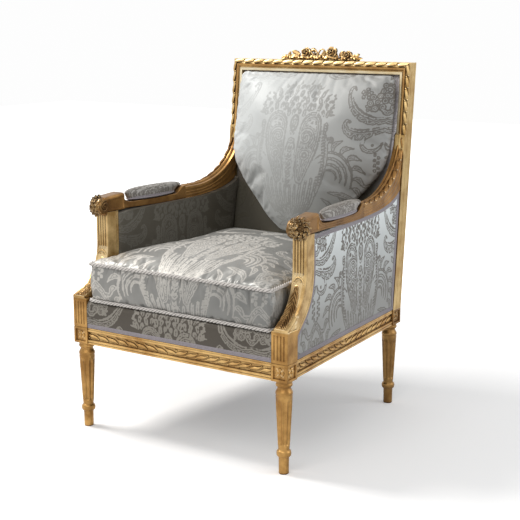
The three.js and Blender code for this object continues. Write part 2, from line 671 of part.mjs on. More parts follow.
const armDowel = (clearance) => {
	const y = ARM_END;
	const x = sideAt(y) - ARM_RAIL_WIDTH / 2;
	const z = (ARM_HEIGHT + ARM_END_TOP) / 2;
	return pin(ARM_DOWEL_RADIUS + clearance,
		[x, y - ARM_DOWEL_LENGTH, z], [x, y + ARM_DOWEL_LENGTH + clearance, z]);
};

function arm() {
	const rail = new THREE.Shape().moveTo(ARM_BLOCK_END, ARM_HEIGHT).lineTo(ARM_BLOCK_END, ARM_BLOCK_TOP);
	const behind = (share) => THREE.MathUtils.lerp(ARM_BLOCK_END, ARM_RAIL_START, share);
	rail.bezierCurveTo(behind(1 / 6), (ARM_BLOCK_TOP + ARM_RAIL_TOP) / 2,
		behind(1 / 3), ARM_RAIL_TOP, ARM_RAIL_START, ARM_RAIL_TOP);
	rail.lineTo(ARM_RAIL_END, ARM_RAIL_TOP);
	const bend = (ARM_RAIL_END + ARM_END) / 2;
	rail.bezierCurveTo(bend, ARM_RAIL_TOP, bend, ARM_END_TOP, ARM_END, ARM_END_TOP);
	rail.lineTo(ARM_END, ARM_HEIGHT - ARM_ARCH / 2);
	rail.lineTo((ARM_RAIL_START + ARM_END) / 2, ARM_HEIGHT - ARM_ARCH).lineTo(ARM_RAIL_START, ARM_HEIGHT);
	const knuckleZ = ARM_HEIGHT + KNUCKLE_RADIUS;
	const knuckle = (radius, [from, to]) => pin(radius,
		[from, KNUCKLE_CENTRE, knuckleZ], [to, KNUCKLE_CENTRE, knuckleZ], LEG_SIDES);
	const inner = onSide(carve([
		prismAcross(rail, [0, ARM_RAIL_WIDTH]),
		box([0, ARM_WIDTH], [KNUCKLE_CENTRE, ARM_BLOCK_END], [ARM_HEIGHT, ARM_BLOCK_TOP]),
		knuckle(KNUCKLE_RADIUS, [0, ARM_WIDTH]),
		knuckle(VOLUTE_RADIUS, [ARM_WIDTH - OVERRUN, ARM_WIDTH + VOLUTE_PROUD]),
	], [knuckle(VOLUTE_EYE_RADIUS, [ARM_WIDTH + VOLUTE_PROUD / 2, ARM_WIDTH + VOLUTE_PROUD + OVERRUN])]));
	return carve([inner, armDowel(0)], [
		pin(ARM_DOWEL_RADIUS + FIT, postTenonSeat(ARM_HEIGHT - OVERRUN),
			postTenonSeat(ARM_HEIGHT + ARM_DOWEL_LENGTH + FIT))]);
}
addPair('arm', arm(), gilt);

// Arm sweeps: the spandrel that carries the line of the arm up into the stile
function armSweep() {
	const reach = stileFront(SWEEP_TOP) - FIT - SWEEP_TIP - SWEEP_FLAT_END;
	const drop = SWEEP_TOP - ARM_END_TOP;
	const shape = new THREE.Shape().moveTo(ARM_END + FIT, ARM_HEIGHT - ARM_ARCH / 2);
	shape.lineTo(ARM_END + FIT, ARM_END_TOP).lineTo(SWEEP_FLAT_END, ARM_END_TOP);
	shape.absellipse(SWEEP_FLAT_END, SWEEP_TOP, reach, drop, -Math.PI / 2, 0, false, 0);
	shape.lineTo(stileFront(SWEEP_TOP) - FIT, SWEEP_TOP);
	shape.lineTo(stileFront(SWEEP_HEEL) - FIT, SWEEP_HEEL);
	traceSweepUnderside(shape, 0, ARM_END + FIT);
	const body = onSide(prismAcross(shape, [0, SWEEP_WIDTH]));
	return carve([body, ...sweepDowels(0)], [armDowel(FIT)]);
}
addPair('arm_sweep', armSweep(), gilt);

// Back frame: top rail and lower rail between the stiles
function crossRail([low, high], frontInset, rearInset) {
	const outline = polygon([
		[stileFront(low) + frontInset, low], [stileRear(low) - rearInset, low],
		[stileRear(high) - rearInset, high], [stileFront(high) + frontInset, high]]);
	const half = STILE_INNER - FIT;
	return [prismAcross(outline, [-half, half]), ...bothSides(backTenon((low + high) / 2, 0))];
}

const CREST_Y = (stileFront(BACK_HEIGHT) + stileRear(BACK_HEIGHT)) / 2;
const crestDowels = (clearance) => [-1, 1].map((way) => pin(CREST_DOWEL_RADIUS + clearance,
	[way * CREST_BASE_TOP_WIDTH / 3, CREST_Y, BACK_HEIGHT - CREST_DOWEL_LENGTH - clearance],
	[way * CREST_BASE_TOP_WIDTH / 3, CREST_Y, BACK_HEIGHT + CREST_BASE_HEIGHT / 2], SCREW_SIDES));

add('top_rail', carve(crossRail([TOP_RAIL_BOTTOM, BACK_HEIGHT], 0, 0), crestDowels(FIT)), gilt);
add('lower_back_rail', carve(crossRail([LOWER_RAIL_BOTTOM, LOWER_RAIL_BOTTOM + LOWER_RAIL_HEIGHT],
	LOWER_RAIL_FRONT_INSET, LOWER_RAIL_REAR_INSET)), beech);

// Crest carving. Each bloom: share of half the crest's width, height and size as shares of a rose.
const BLOOM_SHARES = [
	[-0.66, 0.45, 0.55], [-0.52, 0.75, 0.62], [-0.36, 1.25, 0.92], [-0.14, 0.95, 0.8],
	[0.26, 1.22, 1], [0.08, 0.7, 0.7], [0.66, 0.75, 0.85], [0.45, 0.55, 0.6],
];

function crest() {
	const foot = BACK_HEIGHT + FIT;
	const half = CREST_WIDTH / 2;
	const topHalf = CREST_BASE_TOP_WIDTH / 2;
	const base = polygon([[-half, foot], [half, foot],
		[topHalf, foot + CREST_BASE_HEIGHT], [-topHalf, foot + CREST_BASE_HEIGHT]]);
	const slab = new THREE.ExtrudeGeometry(base, { depth: CREST_DEPTH, bevelEnabled: false });
	slab.rotateX(Math.PI / 2).translate(0, CREST_Y + CREST_DEPTH / 2, 0);
	const blooms = BLOOM_SHARES.map(([along, up, size]) => {
		const radius = ROSE_RADIUS * size;
		const ball = new THREE.SphereGeometry(radius, SCREW_SIDES, SCREW_SIDES / 2 + 1);
		ball.rotateX(Math.PI / 2).scale(1, CREST_DEPTH / ROSE_RADIUS / 2 + 1 / 5, 1);
		return ball.translate(along * half, CREST_Y, foot + up * ROSE_RADIUS);
	});
	const cut = box([-CREST_WIDTH, CREST_WIDTH], [CREST_Y - CREST_WIDTH, CREST_Y + CREST_WIDTH],
		[BACK_HEIGHT - CREST_WIDTH, foot]);
	const bouquet = carve([slab, ...blooms], [cut]);
	return carve([bouquet, ...crestDowels(0)]);
}
add('crest_carving', crest(), gilt);

// Outside panels: fabric over board, level with the frame, in the openings of the sides and back.
// The outline of the side opening: under sweep and arm, behind the post, on the rail.
function sideOpening() {
	const bottom = RAIL_TOP + FIT;
	const shape = new THREE.Shape().moveTo(stileFront(SWEEP_HEEL) - FIT, SWEEP_HEEL - FIT);
	traceSweepUnderside(shape, FIT, ARM_END);
	shape.lineTo((ARM_RAIL_START + ARM_END) / 2, ARM_HEIGHT - ARM_ARCH - FIT);
	shape.lineTo(ARM_RAIL_START, ARM_HEIGHT - FIT).lineTo(POST_REAR + FIT, ARM_HEIGHT - FIT);
	traceRearOfPost(shape, FIT);
	return shape.lineTo(BLOCK_SIZE + FIT, bottom).lineTo(stileFront(bottom) - FIT, bottom);
}

const PANEL_DEPTHS = [PANEL_INSET, PANEL_INSET + OUTSIDE_PANEL_THICKNESS];
addPair('outside_arm_panel', onSide(prismAcross(sideOpening(), PANEL_DEPTHS)), damask);

function outsideBack() {
	const low = RAIL_TOP + FIT;
	const high = TOP_RAIL_BOTTOM - FIT;
	const rear = (z) => stileRear(z) - BACK_PANEL_INSET;
	const outline = polygon([
		[rear(low) - OUTSIDE_PANEL_THICKNESS, low], [rear(low), low],
		[rear(high), high], [rear(high) - OUTSIDE_PANEL_THICKNESS, high]]);
	const half = STILE_INNER - FIT;
	return prismAcross(outline, [-half, half]);
}
add('outside_back_panel', outsideBack(), damask);

// Inside arm upholstery: padding under fabric, between the post and the inside back, on the deck
function insideArmPad() {
	const low = DECK_TOP + FIT;
	const high = SWEEP_HEEL;
	const face = polygon([[0, low], [backPadFace(low) - FIT, low], [backPadFace(high) - FIT, high], [0, high]]);
	const depths = [PANEL_DEPTHS[1] + FIT, ARM_PAD_FACE];
	return onSide(common(prismAcross(sideOpening(), depths), prismAcross(face, grown(depths, OVERRUN))));
}
addPair('inside_arm_pad', insideArmPad(), damask);

// Inside back: padding between the stiles, which stands proud of them low down and lies back at the top
function insideBackPad() {
	const low = DECK_TOP + FIT;
	const high = TOP_RAIL_BOTTOM - FIT;
	const rear = (z) => stileRear(z) - BACK_PANEL_INSET - OUTSIDE_PANEL_THICKNESS - FIT;
	const face = Array.from({ length: CURVE_STEPS + 1 }, (_, i) => {
		const share = i / CURVE_STEPS;
		const z = THREE.MathUtils.lerp(low, high, share);
		return [backPadFace(z) + BACK_PAD_CROWN * (1 - Math.sin(share * Math.PI)), z];
	});
	const outline = polygon([[rear(high), high], [rear(low), low], ...face].reverse());
	const half = STILE_INNER - FIT;
	const narrow = sideAt(stileFront(SWEEP_TOP)) - SWEEP_WIDTH - FIT;
	const flank = polygon([[0, 0], [stileFront(0) + FIT, 0],
		[stileFront(BACK_HEIGHT) + FIT, BACK_HEIGHT], [0, BACK_HEIGHT]]);
	return carve([prismAcross(outline, [-half, half])], bothSides(prismAcross(flank, [narrow, BACK_HALF])));
}
add('inside_back_pad', insideBackPad(), damask);

// Seat webbing: straps tacked on top of the rails, crossing each other
const WEB_Z = [RAIL_TOP + FIT, RAIL_TOP + FIT + WEB_THICKNESS];
const WEB_RUN = [FRONT_RAIL_Y[1] - WEB_LAP, BACK_RAIL_Y[0] + WEB_LAP];
const WEB_ORDER = [-3 / 2, -1 / 2, 1 / 2, 3 / 2];

function webbing() {
	const middle = (WEB_RUN[0] + WEB_RUN[1]) / 2;
	const around = (place) => centredOn([place, place], WEB_WIDTH);
	const straps = WEB_ORDER.map((order) => box(around(order * WEB_SPACING), WEB_RUN, WEB_Z));
	for (const order of WEB_ORDER) {
		const y = middle + order * WEB_SPACING;
		const half = sideAt(y + WEB_WIDTH / 2) - RAIL_INNER_DEPTH + WEB_LAP;
		straps.push(box([-half, half], around(y), WEB_Z));
	}
	return carve(straps);
}
add('seat_webbing', webbing(), jute);

// Seat deck: padding on the webbing, with a fabric border that stands on the front rail
function seatDeck() {
	const low = RAIL_TOP + FIT;
	const bed = WEB_Z[1] + FIT;
	const rear = stileFront(RAIL_TOP) - FIT;
	const lap = WEB_RUN[0] - FIT;
	const border = new THREE.Shape().moveTo(DECK_FRONT, low).lineTo(lap, low).lineTo(lap, bed);
	border.lineTo(DECK_SHOULDER + OVERRUN, bed).lineTo(DECK_SHOULDER + OVERRUN, DECK_TOP);
	border.lineTo(DECK_FRONT + DECK_EDGE_RADIUS, DECK_TOP);
	border.quadraticCurveTo(DECK_FRONT, DECK_TOP, DECK_FRONT, DECK_TOP - DECK_EDGE_RADIUS);
	border.quadraticCurveTo(DECK_FRONT - DECK_FRONT_CROWN, (low + DECK_TOP) / 2, DECK_FRONT, low);
	const half = BLOCK_INNER_FRONT - FIT;
	const wide = (y) => sideAt(y) - PANEL_DEPTHS[1] - FIT;
	const bodyPlan = polygon([[-wide(DECK_SHOULDER), DECK_SHOULDER], [wide(DECK_SHOULDER), DECK_SHOULDER],
		[wide(rear), rear], [-wide(rear), rear]]);
	return carve([prismAcross(border, [-half, half]), prismUp(bodyPlan, [bed, DECK_TOP])]);
}
add('seat_deck', seatDeck(), damask);

// Dust cover: thin cloth tacked under the rails, cut out round the legs
function dustCover() {
	const front = FRONT_RAIL_Y[1] - DUST_COVER_LAP;
	const rear = BACK_RAIL_Y[0] + DUST_COVER_LAP;
	const frontCorner = BLOCK_SIZE + FIT;
	const rearCorner = REAR_BLOCK_FRONT - FIT;
	const edge = (y) => sideAt(y) - RAIL_INNER_DEPTH + DUST_COVER_LAP;
	const half = [
		[BLOCK_INNER_FRONT - FIT, front], [BLOCK_INNER_FRONT - FIT, frontCorner], [edge(frontCorner), frontCorner],
		[edge(rearCorner), rearCorner], [BLOCK_INNER_REAR - FIT, rearCorner], [BLOCK_INNER_REAR - FIT, rear]];
	const outline = polygon([...half, ...half.map(([x, y]) => [-x, y]).reverse()]);
	return prismUp(outline, [LEG_HEIGHT - FIT - DUST_COVER_THICKNESS, LEG_HEIGHT - FIT]);
}
add('dust_cover', dustCover(), lining);

// Loose seat cushion. Its outline narrows towards the back, with rounded corners and drawn-in edges.
const CUSHION_BASE = DECK_TOP + FIT;
const CUSHION_REAR = backPadFace(CUSHION_BASE) - FIT;
const LOW_CORD_Z = CUSHION_BASE + CORD_RADIUS;
const TOP_CORD_Z = CUSHION_BASE + CUSHION_HEIGHT;

function cushionOutline(inset, cornerSteps, edgeSteps) {
	const radius = Math.max(CUSHION_CORNER_RADIUS - inset, CUSHION_CORNER_RADIUS / 6);
	const half = (y) => sideAt(y) - ARM_PAD_FACE - CUSHION_SIDE_GAP - inset;
	const front = CUSHION_FRONT + inset + radius;
	const rear = CUSHION_REAR - inset - radius;
	const corners = [[-half(front) + radius, front], [half(front) - radius, front],
		[half(rear) - radius, rear], [-half(rear) + radius, rear]];
	const arcs = corners.map(([x, y], corner) => Array.from({ length: cornerSteps + 1 }, (_, i) => {
		const angle = Math.PI + (corner + i / cornerSteps) * (Math.PI / 2);
		return new THREE.Vector2(x + radius * Math.cos(angle), y + radius * Math.sin(angle));
	}));
	return arcs.flatMap((arc, corner) => {
		const start = arc[cornerSteps];
		const end = arcs[(corner + 1) % arcs.length][0];
		const inward = new THREE.Vector2(start.y - end.y, end.x - start.x).normalize();
		const edge = Array.from({ length: edgeSteps - 1 }, (_, i) => {
			const share = (i + 1) / edgeSteps;
			const drawnIn = CUSHION_DRAWN_IN * Math.sin(share * Math.PI);
			return start.clone().lerp(end, share).addScaledVector(inward, drawnIn);
		});
		return [...arc, ...edge];
	});
}

// One ring of the cushion: its outline inset, drawn towards the middle by a share, at a height
function cushionRing(inset, toMiddle, z, fine) {
	const outline = fine ? cushionOutline(inset, CORNER_STEPS, EDGE_STEPS)
		: cushionOutline(inset, CORE_CORNER_STEPS, CORE_EDGE_STEPS);
	const middle = (CUSHION_FRONT + CUSHION_REAR) / 2;
	return outline.map((p) => new THREE.Vector3(
		p.x * (1 - toMiddle), THREE.MathUtils.lerp(p.y, middle, toMiddle), z));
}

const crownAt = (share) => CUSHION_CROWN * (1 - (1 - share) ** 2.2);
const CROWN_SHARES = [0.07, 0.18, 0.36, 0.6, 0.86];
const CORE_CROWN_SHARES = [0.18, 0.5, 0.86];
const UNDERSIDE_RING_SHARES = [0.7, 0.25];

// Each point of the border: share of its height, share of its bulge
const BORDER_SHARES = [[0, 0], [0.25, 0.8], [0.5, 1], [0.75, 0.8], [1, 0]];

function seatCushionBody() {
	const groove = CORD_RADIUS + CORD_GROOVE;
	const lip = CORD_RADIUS + 2 * FIT;
	const border = [LOW_CORD_Z + lip, TOP_CORD_Z - lip];
	const shoulder = TOP_CORD_Z + CORD_RADIUS + OVERRUN;
	return loft([
		...UNDERSIDE_RING_SHARES.map((share) => cushionRing(groove, share, CUSHION_BASE, true)),
		cushionRing(groove * 2, 0, CUSHION_BASE, true),
		cushionRing(groove, 0, CUSHION_BASE + OVERRUN, true),
		cushionRing(groove, 0, LOW_CORD_Z + CORD_RADIUS, true),
		...BORDER_SHARES.map(([up, bulge]) => cushionRing(CORD_RADIUS * (1 - bulge * (3 / 4)), 0,
			THREE.MathUtils.lerp(...border, up), true)),
		cushionRing(groove, 0, TOP_CORD_Z - CORD_RADIUS, true),
		cushionRing(groove, 0, TOP_CORD_Z + CORD_RADIUS, true),
		cushionRing(groove * 2, 0, shoulder + CORD_RADIUS, true),
		...CROWN_SHARES.map((share) => cushionRing(groove, share, shoulder + crownAt(share), true)),
	]);
}

// The filling of the seat cushion, which is also the hollow of its cover when it is not shrunk
function seatCushionFilling(shrink) {
	const inset = CORD_RADIUS + CORD_GROOVE + COVER_THICKNESS + shrink;
	const lift = COVER_THICKNESS + shrink;
	return loft([
		cushionRing(inset, 1 / 2, CUSHION_BASE + lift, false),
		cushionRing(inset, 0, CUSHION_BASE + lift, false),
		cushionRing(inset, 0, TOP_CORD_Z - shrink, false),
		...CORE_CROWN_SHARES.map((share) => cushionRing(inset, share, TOP_CORD_Z - lift + crownAt(share), false)),
	]);
}

function zipBox(length, shrink) {
	const z = (LOW_CORD_Z + TOP_CORD_Z) / 2;
	return box(centredOn([0, 0], length - 2 * shrink),
		[CUSHION_REAR - CUSHION_CORNER_RADIUS, CUSHION_REAR + OVERRUN],
		centredOn([z, z], ZIP_HEIGHT - 2 * shrink));
}

const seatCover = carve([seatCushionBody()], [seatCushionFilling(0)]);
const cordPath = (z) => cushionRing(CORD_RADIUS, 0, z, true);
add('seat_cushion_cover', carve([seatCover], [zipBox(ZIP_LENGTH, 0)]), damask);
add('seat_cushion_filling', seatCushionFilling(FIT), filling);
add('seat_cushion_zip', common(seatCover, zipBox(ZIP_LENGTH, FIT)), lining);
add('seat_cushion_top_cord', cordLoop(cordPath(TOP_CORD_Z), CORD_RADIUS), twist);
add('seat_cushion_low_cord', cordLoop(cordPath(LOW_CORD_Z), CORD_RADIUS), twist);

// Loose back cushion: square shoulders, tapering to a narrow foot, seamed all round its edge. The
// right half of its outline, from the foot up: shares of the half width and of the height.
const BACK_CUSHION_OUTLINE = new THREE.SplineCurve([
	[0, 0], [0.14, 0], [0.25, 0.015], [0.42, 0.085], [0.58, 0.175], [0.75, 0.275], [0.87, 0.355],
	[0.945, 0.425], [0.985, 0.495], [1, 0.6], [1, 0.78], [1, 0.95], [0.985, 0.985], [0.945, 1], [0.88, 1],
	[0.5, 1], [0, 1],
].map(([x, z]) => new THREE.Vector2(x, z)));
const BACK_CUSHION_TOP = TOP_RAIL_BOTTOM - BACK_CUSHION_TOP_GAP;
const BACK_CUSHION_FOOT = DECK_TOP + BACK_CUSHION_FOOT_RISE;
const seamPlane = (z) => THREE.MathUtils.mapLinear(z, BACK_CUSHION_FOOT, BACK_CUSHION_TOP,
	backPadFace(BACK_CUSHION_FOOT) - BACK_CUSHION_FOOT_DEPTH,
	stileFront(BACK_CUSHION_TOP) - BACK_CUSHION_TOP_PROUD);

// One ring of the back cushion: drawn towards the middle by a share, and a place in depth at each height
function backCushionRing(inset, toMiddle, depthAt, count) {
	const middle = (BACK_CUSHION_TOP + BACK_CUSHION_FOOT) / 2;
	return Array.from({ length: count }, (_, i) => {
		const turn = (i + 1 / 2) / (count / 2);
		const share = BACK_CUSHION_OUTLINE.getPointAt(Math.min(turn, 2 - turn));
		const x = Math.sign(1 - turn) * share.x * (BACK_CUSHION_HALF_WIDTH - inset);
		const z = THREE.MathUtils.lerp(BACK_CUSHION_FOOT + inset, BACK_CUSHION_TOP - inset, share.y);
		const height = THREE.MathUtils.lerp(z, middle, toMiddle);
		return new THREE.Vector3(x * (1 - toMiddle), depthAt(height), height);
	});
}

const REAR_RING_SHARES = [0.85, 0.5, 0.25, 0.08];
const FRONT_RING_SHARES = [0.05, 0.15, 0.3, 0.5, 0.7, 0.9];
const FILLING_RING_SHARES = [0.15, 0.45, 0.85];
const restFull = (share) => Math.sqrt(1 - (1 - share) ** 2);
const frontFull = (share) => (1 - (1 - share) ** 2) ** 0.8;

function backCushionBody(inset, rearShares, frontShares, count) {
	const rest = (share) => (z) => THREE.MathUtils.lerp(
		seamPlane(z), Math.max(backPadFace(z) - FIT - inset, seamPlane(z)), restFull(share));
	const bulge = (share) => (z) => seamPlane(z) - (BACK_CUSHION_BULGE - inset) * frontFull(share);
	return loft([
		...rearShares.map((share) => backCushionRing(inset, share, rest(share), count)),
		backCushionRing(inset, 0, seamPlane, count),
		...frontShares.map((share) => backCushionRing(inset, share, bulge(share), count)),
	]);
}

const backFilling = (shrink) => backCushionBody(COVER_THICKNESS * 3 + shrink,
	[...FILLING_RING_SHARES].reverse(), FILLING_RING_SHARES, CORE_OVAL_POINTS);
const backZipBox = (shrink) => box(centredOn([0, 0], BACK_ZIP_LENGTH - 2 * shrink),
	[seamPlane(BACK_ZIP_HEIGHT), backPadFace(BACK_ZIP_HEIGHT) + BACK_CUSHION_BULGE],
	centredOn([BACK_ZIP_HEIGHT, BACK_ZIP_HEIGHT], ZIP_HEIGHT - 2 * shrink));
const backBody = backCushionBody(0, REAR_RING_SHARES, FRONT_RING_SHARES, OVAL_POINTS);
const backCover = carve([backBody], [backFilling(0)]);
add('back_cushion_cover', carve([backCover], [backZipBox(0)]), damask);
add('back_cushion_filling', backFilling(FIT), filling);
add('back_cushion_zip', common(backCover, backZipBox(FIT)), lining);

// Arm rest pads. Each ring: share of the height, of the length at the front end and at the rear end,
// and of half the width; the pad is boat-shaped where it lies in the scoop of the arm.
const MANCHETTE_SHARES = [
	[0, 0.13, 0.79, 0.7], [0.09, 0.065, 0.84, 0.88], [0.28, 0.03, 0.884, 1], [0.49, 0.01, 0.93, 1],
	[0.68, 0, 1, 0.94], [0.86, 0.05, 0.95, 0.76], [0.97, 0.16, 0.83, 0.44],
];

function manchette() {
	const rings = MANCHETTE_SHARES.map(([up, from, to, wide]) => {
		const z = ARM_RAIL_TOP + FIT + up * MANCHETTE_HEIGHT;
		const start = THREE.MathUtils.lerp(MANCHETTE_FRONT, MANCHETTE_REAR, from);
		const end = THREE.MathUtils.lerp(MANCHETTE_FRONT, MANCHETTE_REAR, to);
		return Array.from({ length: CORE_OVAL_POINTS }, (_, i) => {
			const angle = (i / CORE_OVAL_POINTS) * Math.PI * 2;
			return new THREE.Vector3(MANCHETTE_MIDDLE + (wide * MANCHETTE_WIDTH / 2) * Math.cos(angle),
				(start + end) / 2 + ((end - start) / 2) * Math.sin(angle), z);
		});
	});
	return onSide(loft(rings));
}
addPair('manchette', manchette(), damask);

// The chair stands with the middle of its outer box on the origin
const bounds = new THREE.Box3().setFromObject(chair);
chair.position.y = -(bounds.min.y + bounds.max.y) / 2;

export default chair;
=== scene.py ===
# Looks of a bergère chair: a carved and gilt beech frame, upholstered in silk damask, with a
# loose seat cushion and a loose back cushion. Metres; +Z up; the sitter faces -Y.
import math
import bmesh
import bpy
import numpy as np
from mathutils import Matrix, Vector
from mathutils.geometry import interpolate_bezier


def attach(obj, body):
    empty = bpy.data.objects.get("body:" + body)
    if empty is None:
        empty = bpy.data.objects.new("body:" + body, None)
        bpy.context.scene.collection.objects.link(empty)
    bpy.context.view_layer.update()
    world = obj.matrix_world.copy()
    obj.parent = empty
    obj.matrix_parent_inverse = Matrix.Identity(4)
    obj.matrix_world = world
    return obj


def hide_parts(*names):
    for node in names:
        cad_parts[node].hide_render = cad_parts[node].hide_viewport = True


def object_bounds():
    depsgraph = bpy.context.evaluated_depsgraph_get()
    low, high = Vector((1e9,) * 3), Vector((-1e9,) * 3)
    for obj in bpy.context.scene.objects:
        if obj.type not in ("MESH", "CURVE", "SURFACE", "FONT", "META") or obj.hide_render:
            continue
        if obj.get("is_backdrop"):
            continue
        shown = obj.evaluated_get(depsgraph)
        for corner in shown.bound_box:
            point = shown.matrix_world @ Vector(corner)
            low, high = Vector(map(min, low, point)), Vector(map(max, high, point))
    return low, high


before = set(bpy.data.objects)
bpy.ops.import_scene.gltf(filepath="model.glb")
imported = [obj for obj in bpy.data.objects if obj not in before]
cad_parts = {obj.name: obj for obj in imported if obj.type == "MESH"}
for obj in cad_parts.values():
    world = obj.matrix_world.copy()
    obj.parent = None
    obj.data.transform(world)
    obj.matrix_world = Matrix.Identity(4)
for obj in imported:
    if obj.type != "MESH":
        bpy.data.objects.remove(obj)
cad_box = [list(corner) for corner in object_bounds()]
scene = bpy.context.scene
scene.view_settings.view_transform = "Standard"

# Camera, studio floor and lights. The chair stands on a white floor, lit by a large soft light
# from the left and above, a weaker one from the right, and the white walls around it.
PHOTO_AZIMUTH = 33.69
PHOTO_ELEVATION = 11.714
PHOTO_DISTANCE = 3.4175
PHOTO_TARGET = Vector((0.0004, 0.0255, 0.4472))

def direction(azimuth, elevation):
    """The way from the chair to a viewer or a lamp; azimuth turns from the front to the right."""
    a, e = math.radians(azimuth), math.radians(elevation)
    return Vector((math.sin(a) * math.cos(e), -math.cos(a) * math.cos(e), math.sin(e)))

lens = bpy.data.cameras.new("photo_camera")
lens.lens = 82.73
lens.sensor_width = 36
camera = bpy.data.objects.new("photo_camera", lens)
camera.location = PHOTO_TARGET + direction(PHOTO_AZIMUTH, PHOTO_ELEVATION) * PHOTO_DISTANCE
camera.rotation_euler = (camera.location - PHOTO_TARGET).to_track_quat("Z", "Y").to_euler()
scene.collection.objects.link(camera)
scene.camera = camera

LAMPS = (
    ("window_left", -75, 50, 3.4, 1.1, 94, (1.0, 0.975, 0.94)),
    ("softbox_front", 12, 38, 3.6, 2.4, 30, (1.0, 0.985, 0.96)),
    ("softbox_right", 112, 22, 3.6, 2.2, 30, (0.93, 0.97, 1.0)),
)
for name, azimuth, elevation, distance, size, watts, colour in LAMPS:
    lamp_data = bpy.data.lights.new(name, "AREA")
    lamp_data.size = size
    lamp_data.energy = watts
    lamp_data.color = colour
    lamp = bpy.data.objects.new(name, lamp_data)
    lamp.location = PHOTO_TARGET + direction(azimuth, elevation) * distance
    lamp.rotation_euler = direction(azimuth, elevation).to_track_quat("Z", "Y").to_euler()
    scene.collection.objects.link(lamp)

def add_node(tree, kind, **settings):
    """A node of a material or a group, with its settings and the values of its free sockets."""
    node = tree.nodes.new(f"ShaderNode{kind}")
    for key, value in settings.items():
        if key.startswith("in_"):
            name = key[3:]
            socket = node.inputs[int(name)] if name.isdigit() else node.inputs[name.replace("_", " ")]
            socket.default_value = value
        else:
            setattr(node, key, value)
    return node

def join(tree, *links):
    """Links nodes; each link is a node, its output socket, the next node and its input socket."""
    for source, out_socket, target, in_socket in links:
        tree.links.new(source.outputs[out_socket], target.inputs[in_socket])

world = bpy.data.worlds.new("studio")
world.use_nodes = True
scene.world = world
air = world.node_tree
air.nodes.clear()
rays = add_node(air, "LightPath")
mirrored = add_node(air, "Math", operation="MAXIMUM")
seen = add_node(air, "Math", operation="MAXIMUM")
walls = add_node(air, "MapRange", in_3=0.46, in_4=1.0)
sky = add_node(air, "Background", in_0=(0.985, 0.985, 0.985, 1))
air_out = add_node(air, "OutputWorld")
join(air, (rays, "Is Glossy Ray", mirrored, 0), (rays, "Is Transmission Ray", mirrored, 1),
     (rays, "Is Camera Ray", seen, 0), (mirrored, 0, seen, 1), (seen, 0, walls, "Value"),
     (walls, "Result", sky, "Strength"), (sky, 0, air_out, "Surface"))

bm = bmesh.new()
bmesh.ops.create_grid(bm, x_segments=2, y_segments=2, size=9)
floor_mesh = bpy.data.meshes.new("studio_floor")
bm.to_mesh(floor_mesh)
bm.free()
studio_floor = bpy.data.objects.new("studio_floor", floor_mesh)
scene.collection.objects.link(studio_floor)
floor_finish = bpy.data.materials.new("studio_floor")
floor_finish.use_nodes = True
tree = floor_finish.node_tree
tree.nodes.clear()
paint = add_node(tree, "BsdfDiffuse", in_Color=(0.96, 0.96, 0.965, 1))
lift = add_node(tree, "Emission", in_Color=(1, 1, 1, 1))
spot = add_node(tree, "TexCoord")
far = add_node(tree, "VectorMath", operation="LENGTH")
fade = add_node(tree, "MapRange", in_1=0.95, in_2=2.0, in_3=0.17, in_4=1.0)
dark = add_node(tree, "Emission", in_Color=(0, 0, 0, 1))
rays = add_node(tree, "LightPath")
pick = add_node(tree, "MixShader")
both = add_node(tree, "AddShader")
out = add_node(tree, "OutputMaterial")
join(tree, (spot, "Object", far, 0), (far, "Value", fade, "Value"), (fade, "Result", lift, "Strength"),
     (rays, "Is Camera Ray", pick, 0), (dark, 0, pick, 1), (lift, 0, pick, 2), (paint, 0, both, 0),
     (pick, 0, both, 1), (both, 0, out, "Surface"))
floor_mesh.materials.append(floor_finish)
studio_floor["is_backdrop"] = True

# Front legs: one piece of beech each, turned below and left square at the rails. Ten flutes are
# cut into the taper, a rosette is carved in a sunk panel on the two outer faces of the block,
# and the wood is gessoed, gilt, burnished on its high places and toned brown in its hollows.
FRONT_HALF = 0.350
BACK_HALF = 0.305
FRONT_Y = -0.3785
REAR_Y = 0.3165
BLOCK = 0.048
LEG_HEIGHT = 0.245
RAIL_TOP = 0.291
BACK_TOP = 1.0
BACK_RAKE = 0.062
SIDE_SLOPE = (FRONT_HALF - BACK_HALF) / (REAR_Y - BLOCK - FRONT_Y)
LEG_OUTLINE = (
    (0, 0), (11.9, 0), (12.7, 0.8), (13.0, 2.5), (13.0, 14), (13.2, 30), (13.6, 43.5),
    (14.2, 45.6), (16.4, 46.6), (17.6, 47.8), (18.6, 50.2), (19.0, 53), (19.0, 56), (18.5, 58.8),
    (17.4, 61.2), (15.9, 62.8), (14.6, 64), (14.3, 66), (14.4, 69), (14.9, 71.5),
)
LEG_TAPER = (15.1, 73.0, 21.5, 204.0)
LEG_HEAD = (
    (21.7, 205.6), (21.2, 207.2), (20.9, 208.6), (21.3, 209.8), (21.9, 211.2), (22.2, 213.4),
    (22.0, 215.8), (21.1, 218.2), (19.6, 220.8), (18.2, 223.4), (17.3, 226), (17.0, 228), (17.5, 229.4),
    (19.4, 230.4), (20.8, 232), (21.5, 234.2), (21.4, 236.6), (20.7, 238.6), (20.0, 239.8), (20.0, 240.8),
    (20.9, 241.6), (21.3, 243), (21.3, 246), (0, 246),
)
FLUTES = 10
FLUTE_DEPTH = 0.0028
FLUTE_LOW, FLUTE_HIGH = 0.077, 0.196

def side_x(y):
    """Half the chair's width at a depth."""
    return FRONT_HALF - SIDE_SLOPE * (y - FRONT_Y)

def rise(z):
    return (z - RAIL_TOP) / (BACK_TOP - RAIL_TOP)

def stile_rear(z):
    return REAR_Y + BACK_RAKE * rise(z)

def stile_front(z):
    return stile_rear(z) - BLOCK + 0.004 * rise(z)

